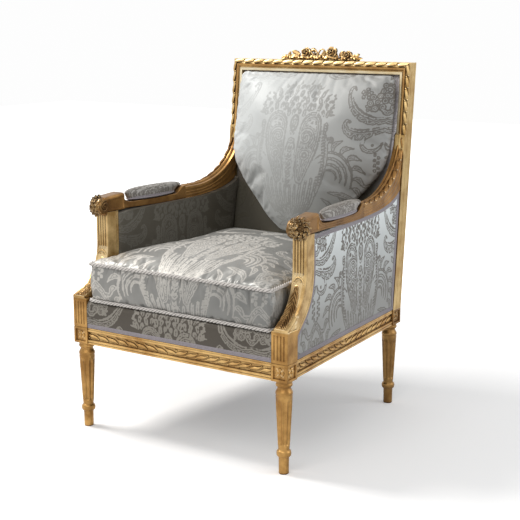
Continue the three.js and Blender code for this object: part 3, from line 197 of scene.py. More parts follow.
def turned_solid(outline, steps):
    """An outline of (radius, height) points spun once round the Z axis."""
    shape = bmesh.new()
    points = [shape.verts.new((r, 0, h)) for r, h in outline]
    edges = [shape.edges.new(pair) for pair in zip(points, points[1:])]
    bmesh.ops.spin(shape, geom=points + edges, axis=(0, 0, 1), angle=2 * math.pi, steps=steps,
                   use_merge=True)
    bmesh.ops.remove_doubles(shape, verts=shape.verts, dist=1e-6)
    bmesh.ops.recalc_face_normals(shape, faces=shape.faces)
    return shape

def fluted_leg():
    taper = LEG_TAPER
    shaft = [(taper[0] + (taper[2] - taper[0]) * t, taper[1] + (taper[3] - taper[1]) * t)
             for t in [i / 40 for i in range(41)]]
    outline = [(r / 1000, h / 1000) for r, h in (*LEG_OUTLINE, *shaft, *LEG_HEAD)]
    shape = turned_solid(outline, FLUTES * 14)
    for v in shape.verts:
        low, high = v.co.z - FLUTE_LOW, FLUTE_HIGH - v.co.z
        if low <= 0 or high <= 0:
            continue
        radius = math.hypot(v.co.x, v.co.y)
        across = ((math.atan2(v.co.y, v.co.x) / math.tau * FLUTES) % 1 - 0.5) * 2
        end = min(1, min(low, high) / (math.pi * radius / FLUTES * 0.75))
        reach = 0.76 * math.sqrt(1 - (1 - end) ** 2)
        if abs(across) < reach:
            cut = FLUTE_DEPTH * math.sqrt(1 - (across / reach) ** 2) * min(1, end * 1.5)
            v.co.xy *= (radius - cut) / radius
    return shape

def absorb(target, source, *places):
    """Copies a shape into another at each place."""
    unit = bpy.data.meshes.new("unit")
    source.to_mesh(unit)
    for place in places:
        copy = unit.copy()
        copy.transform(place)
        if place.determinant() < 0:
            copy.flip_normals()
        target.from_mesh(copy)
        bpy.data.meshes.remove(copy)
    bpy.data.meshes.remove(unit)

def take_in(target, source, *places):
    """Copies a shape into another, as it stands or at each place, and frees it."""
    absorb(target, source, *(places or [Matrix.Identity(4)]))
    source.free()

def recolour(shape, slot=1, before=0):
    """Gives a shape's faces, from a count of them on, the finish in a slot."""
    shape.faces.ensure_lookup_table()
    for face in shape.faces[before:]:
        face.material_index = slot

def turned(degrees, axis):
    return Matrix.Rotation(math.radians(degrees), 4, axis)

def framed(along, across, out, spot=(0, 0, 0)):
    """The placement at a spot with its X, Y and Z along three ways."""
    base = Matrix((along, across, out)).transposed().to_4x4()
    base.translation = spot
    return base

def block(corner, far, bevel):
    """A box between two corners with its edges taken off."""
    shape = bmesh.new()
    low, high = Vector(corner), Vector(far)
    size = high - low
    bmesh.ops.create_cube(shape, size=1)
    bmesh.ops.transform(shape, verts=shape.verts,
                        matrix=Matrix.Translation((low + high) / 2) @ Matrix.Diagonal((*size, 1)))
    if bevel:
        bmesh.ops.bevel(shape, geom=shape.edges, offset=bevel, segments=2, profile=0.5,
                        affect="EDGES", material=-1)
    return shape

def sink_panel(shape, way, margin, depth):
    """Cuts a sunk panel with a rounded lip into the face of a box that looks a given way."""
    face = max(shape.faces, key=lambda f: (round(f.normal.dot(Vector(way)), 3), f.calc_area()))
    bmesh.ops.inset_region(shape, faces=[face], thickness=margin, depth=0)
    bmesh.ops.inset_region(shape, faces=[face], thickness=0.0009, depth=-0.0012)
    bmesh.ops.inset_region(shape, faces=[face], thickness=0.0006, depth=-(depth - 0.0012))
    return face

def carved_leaf(length, width, height, curl=0.0, ribs=1, tip=0.8, steps=7, thickness=0.0016):
    """A leaf that grows along +X from the origin, with its face up: hollowed each side of a raised
    rib, with a wavy edge, and its tip curled up."""
    shape = bmesh.new()
    bmesh.ops.create_grid(shape, x_segments=steps, y_segments=4 * ribs, size=0.5)
    for v in shape.verts:
        along, across = v.co.x + 0.5, v.co.y * 2
        body = math.sin(math.pi * min(1, along ** tip * 0.97 + 0.03)) ** 0.62
        scallop = 1 + 0.10 * math.cos(along * math.pi * 2 * steps / 3) * abs(across)
        rib = math.cos(across * math.pi * ribs) * 0.5 + 0.5
        crown = (1 - across ** 2) * 0.55 + rib * 0.45
        v.co = Vector((length * along, width / 2 * body * across * scallop,
                       height * body * crown + curl * along ** 2.2))
    bmesh.ops.solidify(shape, geom=shape.faces, thickness=thickness)
    bmesh.ops.recalc_face_normals(shape, faces=shape.faces)
    return shape

def rosette_shape(radius, height):
    """Four broad petals, four small leaves between them and a button, with +Z outwards."""
    shape = bmesh.new()
    petal = carved_leaf(radius * 1.02, radius * 0.98, height * 0.55, curl=height * 0.32, tip=1.15, steps=6)
    leaf = carved_leaf(radius * 1.22, radius * 0.5, height * 0.35, tip=0.9, steps=5)
    raised = Matrix.Translation((0, 0, height * 0.12))
    take_in(shape, leaf, *[Matrix.Rotation(math.tau * (i + 0.5) / 4, 4, "Z") for i in range(4)])
    take_in(shape, petal, *[raised @ Matrix.Rotation(math.tau * i / 4, 4, "Z") for i in range(4)])
    button = bmesh.new()
    bmesh.ops.create_uvsphere(button, u_segments=16, v_segments=8, radius=radius * 0.27)
    take_in(shape, button, Matrix.Translation((0, 0, height * 0.62)) @ Matrix.Diagonal((1, 1, 0.75, 1)))
    return shape

def finished(shape, name, *finishes, body="frame", sharp=38):
    """Makes a named object of a shape, shaded smooth between its sharp edges."""
    mesh = bpy.data.meshes.new(name)
    shape.to_mesh(mesh)
    shape.free()
    mesh.shade_smooth()
    mesh.set_sharp_from_angle(angle=math.radians(sharp))
    for finish in finishes:
        mesh.materials.append(finish)
    piece = bpy.data.objects.new(name, mesh)
    scene.collection.objects.link(piece)
    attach(piece, body)
    return piece

def new_group(name, inputs, outputs):
    """A shader node group with named sockets; each is a name, a kind and a start value."""
    group = bpy.data.node_groups.new(name, "ShaderNodeTree")
    for way, sockets in (("INPUT", inputs), ("OUTPUT", outputs)):
        for label, kind, start in sockets:
            socket = group.interface.new_socket(label, in_out=way, socket_type=f"NodeSocket{kind}")
            if start is not None:
                socket.default_value = start
    return group, group.nodes.new("NodeGroupInput"), group.nodes.new("NodeGroupOutput")

# The effect that every gilt piece shares: leaf tones, brown glaze in hollows, bright worn edges
gilding, given, gives = new_group(
    "gilding",
    [("Leaf", "Color", (0.62, 0.41, 0.165, 1)), ("Deep leaf", "Color", (0.42, 0.235, 0.075, 1)),
     ("Glaze", "Color", (0.060, 0.024, 0.006, 1)), ("Glaze amount", "Float", 1.0),
     ("Reach", "Float", 0.007)],
    [("Color", "Color", None), ("Roughness", "Float", None), ("Height", "Float", None)])
place = add_node(gilding, "TexCoord")
clouds = add_node(gilding, "TexNoise", in_Scale=17.0, in_Detail=5.0, in_Roughness=0.62)
cloud_ramp = add_node(gilding, "MapRange", in_1=0.38, in_2=0.60)
leafing = add_node(gilding, "Mix", data_type="RGBA")
hollows = add_node(gilding, "AmbientOcclusion", samples=6, only_local=False)
hollow_ramp = add_node(gilding, "MapRange", interpolation_type="SMOOTHSTEP", in_1=0.92, in_2=0.40)
dirt = add_node(gilding, "TexNoise", in_Scale=95.0, in_Detail=3.0)
dirt_ramp = add_node(gilding, "MapRange", in_1=0.3, in_2=0.75, in_3=0.62, in_4=1.0)
glaze_mask = add_node(gilding, "Math", operation="MULTIPLY")
glaze_share = add_node(gilding, "Math", operation="MULTIPLY", use_clamp=True)
glazed = add_node(gilding, "Mix", data_type="RGBA")
edges = add_node(gilding, "AmbientOcclusion", samples=4, inside=True, only_local=True,
                 in_Distance=0.0009)
edge_ramp = add_node(gilding, "MapRange", interpolation_type="SMOOTHSTEP", in_1=0.62, in_2=0.14,
                     in_4=0.6)
burnished = add_node(gilding, "Mix", data_type="RGBA", in_7=(0.95, 0.79, 0.50, 1))
shine = add_node(gilding, "MapRange", in_3=0.33, in_4=0.66)
gesso = add_node(gilding, "TexNoise", in_Scale=420.0, in_Detail=4.0)
grain = add_node(gilding, "TexNoise", in_Scale=60.0, in_Detail=2.0)
relief = add_node(gilding, "Math", operation="MULTIPLY_ADD", in_1=0.55)
join(gilding, (place, "Object", clouds, "Vector"), (place, "Object", dirt, "Vector"),
     (place, "Object", gesso, "Vector"), (place, "Object", grain, "Vector"),
     (clouds, 0, cloud_ramp, "Value"), (cloud_ramp, 0, leafing, 0), (given, "Deep leaf", leafing, 6),
     (given, "Leaf", leafing, 7), (given, "Reach", hollows, "Distance"),
     (hollows, "AO", hollow_ramp, "Value"), (dirt, 0, dirt_ramp, "Value"),
     (hollow_ramp, 0, glaze_mask, 0), (dirt_ramp, 0, glaze_mask, 1), (glaze_mask, 0, glaze_share, 0),
     (given, "Glaze amount", glaze_share, 1), (glaze_share, 0, glazed, 0), (leafing, 2, burnished, 6),
     (edges, "AO", edge_ramp, "Value"), (edge_ramp, 0, burnished, 0), (burnished, 2, glazed, 6),
     (given, "Glaze", glazed, 7), (glazed, 2, gives, "Color"), (glaze_share, 0, shine, "Value"),
     (shine, 0, gives, "Roughness"), (gesso, 0, relief, 0), (grain, 0, relief, 2),
     (relief, 0, gives, "Height"))

def new_finish(name, **values):
    """A material with values of its shader; it gives the material, its nodes and the shader."""
    finish = bpy.data.materials.new(name)
    finish.use_nodes = True
    shader = finish.node_tree.nodes["Principled BSDF"]
    for socket, value in values.items():
        shader.inputs[socket].default_value = value
    return finish, finish.node_tree, shader

def look_finish(name, group, metal, bump_strength, bump_height, **values):
    """A material that shows a look's node group, its height laid on as a fine bump."""
    finish, nodes, shader = new_finish(name, Metallic=metal)
    look = add_node(nodes, "Group", node_tree=group, **values)
    bump = add_node(nodes, "Bump", in_Strength=bump_strength, in_Distance=bump_height)
    join(nodes, (look, "Color", shader, "Base Color"), (look, "Roughness", shader, "Roughness"),
         (look, "Height", bump, "Height"), (bump, 0, shader, "Normal"))
    return finish

def gilt(name, leaf, deep, glaze_amount=1.0, reach=0.007):
    """A gilt finish with its own leaf colours and amount of glaze."""
    return look_finish(name, gilding, 0.7, 0.16, 0.0012, in_Leaf=(*leaf, 1), in_Deep_leaf=(*deep, 1),
                       in_Glaze_amount=glaze_amount, in_Reach=reach)

leg_gilt = gilt("leg_gilt", (0.56, 0.32, 0.10), (0.30, 0.15, 0.037))
leg_shape = fluted_leg()
rosette_unit = rosette_shape(0.0125, 0.0040)
SIDES = ((1, "right"), (-1, "left"))
PANEL_MARGIN = 0.0068
PANEL_SINK = 0.004
for side, label in SIDES:
    shape = bmesh.new()
    x0, x1 = sorted((side * FRONT_HALF, side * (FRONT_HALF - BLOCK)))
    middle = Vector(((x0 + x1) / 2, FRONT_Y + BLOCK / 2, 0))
    absorb(shape, leg_shape, Matrix.Translation(middle))
    corner = block((x0, FRONT_Y, LEG_HEIGHT), (x1, FRONT_Y + BLOCK, RAIL_TOP), 0.0012)
    sink_panel(corner, (0, -1, 0), PANEL_MARGIN, PANEL_SINK)
    sink_panel(corner, (side, 0, 0), PANEL_MARGIN, PANEL_SINK)
    take_in(shape, corner)
    level = (LEG_HEIGHT + RAIL_TOP) / 2
    absorb(shape, rosette_unit,
           Matrix.Translation((middle.x, FRONT_Y + PANEL_SINK, level)) @ Matrix.Rotation(math.pi / 2, 4, "X"),
           Matrix.Translation((side * (FRONT_HALF - PANEL_SINK), middle.y, level))
           @ Matrix.Rotation(side * math.pi / 2, 4, "Y"))
    piece = finished(shape, f"carved_front_leg_{label}", leg_gilt)
    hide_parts(f"front_leg_{label}")

def drawn_out(rings, closed=False):
    """A solid drawn out through rings of points: the first ring's face is extruded to each next one."""
    shape = bmesh.new()
    line = [shape.verts.new(p) for p in rings[0]]
    first = face = shape.faces.new(line)
    for ring in [*rings[1:], *rings[:1]][:len(rings) - (not closed)]:
        grown = bmesh.ops.extrude_face_region(shape, geom=[face])["geom"]
        if face is not first:
            bmesh.ops.delete(shape, geom=[face], context="FACES_ONLY")
        fresh = {g for g in grown if isinstance(g, bmesh.types.BMVert)}
        line = [next(e.other_vert(v) for e in v.link_edges if e.other_vert(v) in fresh) for v in line]
        for vertex, point in zip(line, ring):
            vertex.co = point
        face = next(g for g in grown if isinstance(g, bmesh.types.BMFace))
    if closed:
        bmesh.ops.delete(shape, geom=[first, face], context="FACES_ONLY")
        bmesh.ops.remove_doubles(shape, verts=shape.verts, dist=1e-7)
    bmesh.ops.recalc_face_normals(shape, faces=shape.faces)
    return shape

def smooth_path(points, steps):
    """A smooth line through given points, evenly stepped between each two of them."""
    points = [Vector(p) for p in points]
    line = []
    for i in range(len(points) - 1):
        before, start, stop = points[max(i - 1, 0)], points[i], points[i + 1]
        after = points[min(i + 2, len(points) - 1)]
        for k in range(steps):
            t = k / steps
            line.append(0.5 * (2 * start + (stop - before) * t
                               + (2 * before - 5 * start + 4 * stop - after) * t ** 2
                               + (3 * start - before - 3 * stop + after) * t ** 3))
    return line + [points[-1]]

def rod(points, radius, up, sides=8, flat=1.0, taper=0.0):
    """A round bar along points; it is flattened along the way up, and may taper to both ends."""
    rings = []
    up = Vector(up)
    for i, p in enumerate(points):
        along = (points[min(i + 1, len(points) - 1)] - points[max(i - 1, 0)]).normalized()
        out = along.cross(up).normalized()
        top = out.cross(along).normalized()
        share = i / (len(points) - 1)
        size = radius * (1 - taper * (2 * share - 1) ** 4)
        rings.append([p + out * size * math.cos(a) + top * size * flat * math.sin(a)
                      for a in [math.tau * k / sides for k in range(sides)]])
    return drawn_out(rings)

# Rear legs: leg, corner block and raked stile are one piece of beech. The stile carries the back
# frame's moulding from the arm upwards: a rope on the outer arris, a hollow, an ovolo and an inner
# fillet that the tone leaves pale.
STILE_WIDTH = 0.031
SWEEP_TOP = 0.800
ROPE_RADIUS = 0.0056
FRAME_SECTION_SHARES = (
    (0.0, 5.2), (0.5, 4.8), (6.6, 4.6), (7.2, 5.6), (8.2, 5.9), (9.2, 5.4), (10.0, 3.6), (11.2, 1.9),
    (13.0, 0.7), (15.2, 0.2), (17.0, 0.6), (17.8, 1.8), (18.4, 3.6), (19.2, 5.2), (20.4, 6.0),
    (21.6, 6.2), (31.0, 6.6),
)
SECTION_WIDTH = 31.0

def frame_profile(width, flat=0.0):
    """The moulding across the frame's face: (distance from the inner edge, depth below the front)."""
    return [(s / SECTION_WIDTH * width, t / 1000 * (1 - flat)) for s, t in FRAME_SECTION_SHARES]

def rope_lump():
    """One twist of the rope moulding: a long lump with two cut lines, lying along +X."""
    shape = bmesh.new()
    bmesh.ops.create_uvsphere(shape, u_segments=10, v_segments=10, radius=1)
    bmesh.ops.rotate(shape, verts=shape.verts, matrix=Matrix.Rotation(math.pi / 2, 3, "Y"))
    for v in shape.verts:
        angle = math.atan2(v.co.z, v.co.y)
        v.co.yz *= 1 + 0.10 * math.cos(3 * angle - math.pi / 2)
    return shape

rope_unit = rope_lump()
ROPE_PITCH = 0.0345

def rope(shape, path, outwards, turn):
    """Lays twists of rope along a line of points; outwards is the way its face looks, or gives it."""
    reach = [0.0]
    for a, b in zip(path, path[1:]):
        reach.append(reach[-1] + (b - a).length)
    count = max(1, round(reach[-1] / ROPE_PITCH))
    pitch = reach[-1] / count
    k = 0
    for i in range(count):
        middle = (i + 0.5) * pitch
        while reach[k + 1] < middle:
            k += 1
        share = (middle - reach[k]) / (reach[k + 1] - reach[k])
        spot = path[k].lerp(path[k + 1], share)
        along = (path[k + 1] - path[k]).normalized()
        face = outwards(spot) if callable(outwards) else Vector(outwards)
        side = face.cross(along).normalized()
        face = along.cross(side).normalized()
        base = framed(along, side, face, spot)
        tilt = Matrix.Rotation(turn * math.radians(13), 4, "Z") @ turned(4, "Y")
        absorb(shape, rope_unit, base @ tilt
               @ Matrix.Diagonal((pitch * 0.56, ROPE_RADIUS * 0.86, ROPE_RADIUS * 0.82, 1)))
        for way in (-1, 1):
            bead = (way * pitch * 0.46, way * turn * ROPE_RADIUS * 0.62, ROPE_RADIUS * 0.30)
            absorb(shape, bead_unit, base @ Matrix.Translation(bead) @ Matrix.Scale(ROPE_RADIUS * 0.46, 4))

bead_unit = bmesh.new()
bmesh.ops.create_icosphere(bead_unit, subdivisions=1, radius=1)

def stile_rings(side):
    rings = []
    inner = BACK_HALF - STILE_WIDTH
    for z, flat in ((RAIL_TOP - 0.001, 1), (0.50, 1), (SWEEP_TOP - 0.004, 1), (SWEEP_TOP - 0.001, 0),
                    (0.90, 0), (BACK_TOP + 0.03, 0)):
        front, back = stile_front(z), stile_rear(z)
        ring = [Vector((side * (inner + s), front + t, z)) for s, t in frame_profile(STILE_WIDTH, flat)]
        flank = ((0, front + (back - front) * 0.36), (0.0011, front + (back - front) * 0.385),
                 (0, front + (back - front) * 0.41), (0, back - 0.009), (0.0011, back - 0.008),
                 (0, back - 0.007), (0, back - 0.0012), (0.0012, back))
        ring += [Vector((side * (BACK_HALF - inset), y, z)) for inset, y in flank]
        rings.append(ring + [Vector((side * inner, back, z))])
    return rings

TOP_RAIL_BOTTOM = 0.966
stile_gilt = gilt("stile_gilt", (0.66, 0.47, 0.205), (0.45, 0.275, 0.092), glaze_amount=1.4)
fillet_gilt = gilt("fillet_gilt", (0.86, 0.76, 0.54), (0.78, 0.62, 0.36), glaze_amount=0.4)
# The rear legs and their corner blocks take a darker copy of the gilt: painted shade, as they stand behind
# and under the seat
rear_gilt_painted_shade = gilt("rear_gilt_painted_shade", (0.38, 0.215, 0.068), (0.22, 0.11, 0.03), glaze_amount=1.2)
cove_gilt = gilt("cove_gilt", (0.44, 0.255, 0.08), (0.30, 0.15, 0.044), glaze_amount=1.3)

def tone_moulding(shape, reach):
    """Gives the frame moulding its pale inner fillet and its brown cove; reach(point) is the share of
    the moulding's width from its inner edge."""
    for face in shape.faces:
        share = reach(face.calc_center_median())
        if face.normal.y < -0.2 and share < 1:
            face.material_index = 1 if share < 0.22 else 2 if 0.31 < share < 0.60 else 0

rope_y = lambda z: stile_front(z) + 0.0052
for side, label in SIDES:
    shape = bmesh.new()
    x0, x1 = sorted((side * BACK_HALF, side * (BACK_HALF - BLOCK)))
    middle = Vector(((x0 + x1) / 2, REAR_Y - BLOCK / 2, 0))
    absorb(shape, leg_shape, Matrix.Translation(middle))
    corner = block((x0, REAR_Y - BLOCK, LEG_HEIGHT), (x1, REAR_Y, RAIL_TOP), 0.0012)
    sink_panel(corner, (side, 0, 0), PANEL_MARGIN, PANEL_SINK)
    take_in(shape, corner)
    absorb(shape, rosette_unit,
           Matrix.Translation((side * (BACK_HALF - PANEL_SINK), middle.y, (LEG_HEIGHT + RAIL_TOP) / 2))
           @ Matrix.Rotation(side * math.pi / 2, 4, "Y"))
    stile = drawn_out(stile_rings(side))
    mitre = Vector((side * (BACK_TOP - TOP_RAIL_BOTTOM), 0, -STILE_WIDTH)).normalized()
    bmesh.ops.bisect_plane(stile, geom=[*stile.verts, *stile.edges, *stile.faces], dist=1e-6,
                           plane_co=(side * BACK_HALF, 0, BACK_TOP), plane_no=-mitre, clear_outer=True)
    bmesh.ops.holes_fill(stile, edges=[e for e in stile.edges if e.is_boundary])
    bmesh.ops.recalc_face_normals(stile, faces=stile.faces)
    # The leg and corner block take the darker gilt in slot 3, painted shade
    recolour(shape, 3)
    tone_moulding(stile, lambda p: (abs(p.x) - BACK_HALF + STILE_WIDTH) / STILE_WIDTH
                  if p.z > SWEEP_TOP else 9)
    take_in(shape, stile)
    line = [Vector((side * (BACK_HALF - 0.0055), rope_y(z), z)) for z in
            [SWEEP_TOP - 0.006 + (BACK_TOP - 0.004 - SWEEP_TOP + 0.006) * i / 20 for i in range(21)]]
    rope(shape, line, (side * 0.30, -1, 0), side)
    piece = finished(shape, f"carved_rear_leg_{label}", stile_gilt, fillet_gilt, cove_gilt, rear_gilt_painted_shade)
    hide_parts(f"rear_leg_{label}")

# Top rail: a length of the same moulding between the stiles, mitred to them, with its rope on top
RAIL_HEIGHT_TOP = BACK_TOP - TOP_RAIL_BOTTOM
rings = []
for x in (-BACK_HALF, 0.0, BACK_HALF):
    ring = []
    for s, t in frame_profile(RAIL_HEIGHT_TOP):
        z = TOP_RAIL_BOTTOM + s
        ring.append(Vector((x, stile_front(z) + t, z)))
    ring += [Vector((x, stile_rear(BACK_TOP) - 0.001, BACK_TOP)),
             Vector((x, stile_rear(BACK_TOP), BACK_TOP - 0.001)),
             Vector((x, stile_rear(TOP_RAIL_BOTTOM), TOP_RAIL_BOTTOM))]
    rings.append(ring)
top = drawn_out(rings)
for side in (1, -1):
    mitre = Vector((side * RAIL_HEIGHT_TOP, 0, -STILE_WIDTH)).normalized()
    bmesh.ops.bisect_plane(top, geom=[*top.verts, *top.edges, *top.faces], dist=1e-6,
                           plane_co=(side * BACK_HALF, 0, BACK_TOP), plane_no=mitre, clear_outer=True)
    bmesh.ops.holes_fill(top, edges=[e for e in top.edges if e.is_boundary])
bmesh.ops.recalc_face_normals(top, faces=top.faces)
tone_moulding(top, lambda p: (p.z - TOP_RAIL_BOTTOM) / RAIL_HEIGHT_TOP)
top_z = BACK_TOP - 0.0052
line = [Vector((-BACK_HALF + 0.004 + (2 * BACK_HALF - 0.008) * i / 40, rope_y(top_z), top_z))
        for i in range(41)]
rope(top, line, (0, -1, 0.45), 1)
top_gilt = gilt("top_gilt", (0.88, 0.66, 0.33), (0.66, 0.44, 0.175))
piece = finished(top, "carved_top_rail", top_gilt, fillet_gilt, cove_gilt)
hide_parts("top_rail")

def lerp(a, b, share):
    return a + (b - a) * share

def between(value, low, high):
    """How far a value is from low to high, from 0 to 1."""
    return max(0.0, min(1.0, (value - low) / (high - low)))

def deep(mm):
    """The scene's y of a depth in millimetres behind the front of the legs."""
    return FRONT_Y + mm / 1000

def on_side(side, inwards, y, z):
    """A point at a distance inwards from the chair's outer side plane."""
    return Vector((side * (side_x(y) - inwards), y, z))

def curve(start, pull, draw, stop, count):
    """Points of a Bezier curve in millimetres, as (depth, height) pairs."""
    points = interpolate_bezier(*[Vector((*p, 0)) for p in (start, pull, draw, stop)], count)
    return [(p.x, p.y) for p in points]

def relief(surface, columns, rows, height, root=0.0012, plain_back=False):
    """A carved patch on a surface: surface(u, v) gives a point and its outward way, height(u, v) how
    proud it stands; its underside is sunk into the wood, and may be a single plain face."""
    shape = bmesh.new()
    bmesh.ops.create_grid(shape, x_segments=columns, y_segments=rows, size=0.5)
    roots = {}
    for v in shape.verts:
        u, w = v.co.x + 0.5, v.co.y + 0.5
        point, way = surface(u, w)
        roots[v] = point - way * root
        v.co = point + way * height(u, w)
    if plain_back:
        rim = [e for e in shape.edges if e.is_boundary]
        grown = bmesh.ops.extrude_edge_only(shape, edges=rim)["geom"]
        fresh = {g for g in grown if isinstance(g, bmesh.types.BMVert)}
        for old in {v for e in rim for v in e.verts}:
            next(e.other_vert(old) for e in old.link_edges if e.other_vert(old) in fresh).co = roots[old]
        bmesh.ops.holes_fill(shape, edges=[e for e in shape.edges if e.is_boundary])
    else:
        bmesh.ops.extrude_face_region(shape, geom=list(shape.faces))
        for old, place in roots.items():
            old.co = place
    bmesh.ops.recalc_face_normals(shape, faces=shape.faces)
    return shape

# Seat rails: beech, with a ribbon twist carved in a sunk channel between a moulded top edge and two
# fillets; the twists turn away from each other at the middle of each rail.
RAIL_SETBACK = 0.003
RAIL_THICK = 0.032
RAIL_SECTION = (
    (0.0, 245.0), (0.0, 249.6), (1.0, 250.4), (1.0, 251.2), (-0.4, 252.0), (-0.8, 254.2), (-0.2, 256.4),
    (1.6, 257.4), (5.0, 258.2), (5.4, 268.0), (5.0, 278.6), (1.8, 279.6), (0.2, 281.0), (-0.6, 283.0),
    (-0.2, 285.2), (0.8, 286.2), (0.8, 287.2), (-0.2, 288.0), (-0.2, 290.4), (0.4, 291.0),
)
TWIST_PITCH = 0.034

def rail_shape(start, stop, outwards):
    """A straight length of rail between two points on its outer face."""
    start, stop, outwards = Vector(start), Vector(stop), Vector(outwards).normalized()
    rings = [[spot - outwards * (t / 1000) + Vector((0, 0, z / 1000)) for t, z in RAIL_SECTION]
             + [spot - outwards * RAIL_THICK + Vector((0, 0, z)) for z in (RAIL_TOP, LEG_HEIGHT)]
             for spot in (start, stop)]
    return drawn_out(rings)

def twist_lump():
    """One turn of the ribbon: an S-shaped strap with a hollow along its middle, lying along +X."""
    shape = bmesh.new()
    bmesh.ops.create_grid(shape, x_segments=14, y_segments=8, size=0.5)
    top = {}
    for v in shape.verts:
        u, w = v.co.x * 2, v.co.y * 2
        width = (1 - abs(u) ** 2.6) ** 0.5 * (0.86 + 0.14 * math.cos(u * 3))
        bend = -0.95 * u + 0.22 * math.sin(u * math.pi)
        ridge = (1 - w * w) ** 0.5 if abs(w) < 1 else 0
        v.co = Vector((u, w * 0.44 * width + bend * 0.62,
                       width * (ridge * 0.85 - 0.26 * math.exp(-(w / 0.3) ** 2))))
    faces = list(shape.faces)
    grown = bmesh.ops.extrude_face_region(shape, geom=faces)["geom"]
    for g in grown:
        if isinstance(g, bmesh.types.BMVert):
            g.co.z = -0.15
    bmesh.ops.remove_doubles(shape, verts=shape.verts, dist=1e-5)
    bmesh.ops.recalc_face_normals(shape, faces=shape.faces)
    return shape

twist_unit = twist_lump()
husk_unit = carved_leaf(1.0, 0.8, 0.35, tip=0.9, steps=5, thickness=0.12)

def carve_twists(shape, start, stop, outwards, way):
    """Lays ribbon twists along the channel of a rail; way is which end their upper tips lean to."""
    start, stop, outwards = Vector(start), Vector(stop), Vector(outwards).normalized()
    length = (stop - start).length
    count = max(1, round(length / TWIST_PITCH))
    pitch = length / count
    along = (stop - start).normalized()
    up = Vector((0, 0, 1))
    if along.cross(up).dot(outwards) < 0:
        along, start, way = -along, stop, -way
    for i in range(count):
        middle = start + along * pitch * (i + 0.5) + up * 0.2682 - outwards * 0.0050
        base = framed(along, up, outwards, middle)
        absorb(shape, twist_unit, base @ Matrix.Diagonal((pitch * 0.62, way * 0.0112, 0.0056, 1)))
        for end in (-1, 1):
            spot = Matrix.Translation((end * pitch * 0.43, end * way * 0.0062, 0.0006))
            absorb(shape, bead_unit, base @ spot @ Matrix.Diagonal((0.0028, 0.0024, 0.0026, 1)))
            lean = Matrix.Rotation(way * math.radians(118 if end > 0 else -62), 4, "Z")
            spot = Matrix.Translation((end * pitch * 0.12, -end * way * 0.0040, 0.0002))
            absorb(shape, husk_unit, base @ spot @ lean @ Matrix.Diagonal((0.0085, 0.0075, 0.008, 1)))

rail_gilt = gilt("rail_gilt", (0.74, 0.48, 0.185), (0.46, 0.245, 0.07), glaze_amount=1.5, reach=0.010)
half = FRONT_HALF - BLOCK
y = FRONT_Y + RAIL_SETBACK
rail = rail_shape((-half, y, 0), (half, y, 0), (0, -1, 0))
carve_twists(rail, (-half, y, 0), (0, y, 0), (0, -1, 0), 1)
carve_twists(rail, (0, y, 0), (half, y, 0), (0, -1, 0), -1)
piece = finished(rail, "carved_front_rail", rail_gilt)
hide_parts("front_rail")
y0, y1 = FRONT_Y + BLOCK, REAR_Y - BLOCK
for side, label in SIDES:
    ends = [on_side(side, RAIL_SETBACK, y, 0) for y in (y0, (y0 + y1) / 2, y1)]
    outwards = Vector((side, SIDE_SLOPE, 0)).normalized()
    rail = rail_shape(ends[0], ends[2], outwards)
    carve_twists(rail, ends[0], ends[1], outwards, side)
    carve_twists(rail, ends[1], ends[2], outwards, -side)
    piece = finished(rail, f"carved_side_rail_{label}", rail_gilt)
    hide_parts(f"side_rail_{label}")

# Arm posts: a fluted base block on the corner of the seat, a console that curves back from it with
# an acanthus leaf and two crescents on its front, and a fluted upright under the arm.
POST_WIDTH = 0.041
BASE_HIGH = 0.374
BASE_FLUTES = (0.3000, 0.3640)
TOP_FLUTES = (0.4985, 0.5920)
TONED_BELOW = 0.3705
FLUTE_SHARES = (0.2, 0.4, 0.6, 0.8)
FLUTE_ROUND = ((-1, 0), (-0.86, 0.45), (-0.5, 0.86), (0, 1), (0.5, 0.86), (0.86, 0.45), (1, 0))

def fluted_edge(start, stop, inwards, depth, half_flute=0.00215):
    """Points along an edge from start to stop, with four rounded flutes cut inwards."""
    way = (stop - start).normalized()
    points = []
    for share in FLUTE_SHARES:
        middle = start.lerp(stop, share)
        for across, down in FLUTE_ROUND:
            points.append(middle + way * half_flute * across + inwards * depth * down)
    return points

def flute_reach(z, low, high, depth):
    """How deep a flute is at a height, with its two ends rounded."""
    end = min(z - low, high - z)
    return 0.0 if end <= 0 else depth * min(1.0, (1 - (1 - min(1, end / 0.0022)) ** 2) ** 0.5)

def stepped_heights(low, high, first, last):
    """Heights from low to high with fine steps where flutes begin and end."""
    fine = [e + k * 0.00055 for e in (first, last - 0.0022) for k in range(5)]
    return sorted({round(z, 6) for z in (low, *fine, high) if low <= z <= high})

console_front = [(0, 373), (0, 378)] + curve((0, 380), (36.4, 392), (97, 430.3), (97, 514), 25)
console_rear = [(48, 348), (49, 350)] + curve((48, 346), (74.9, 386), (140, 399.3), (140, 506), 25)

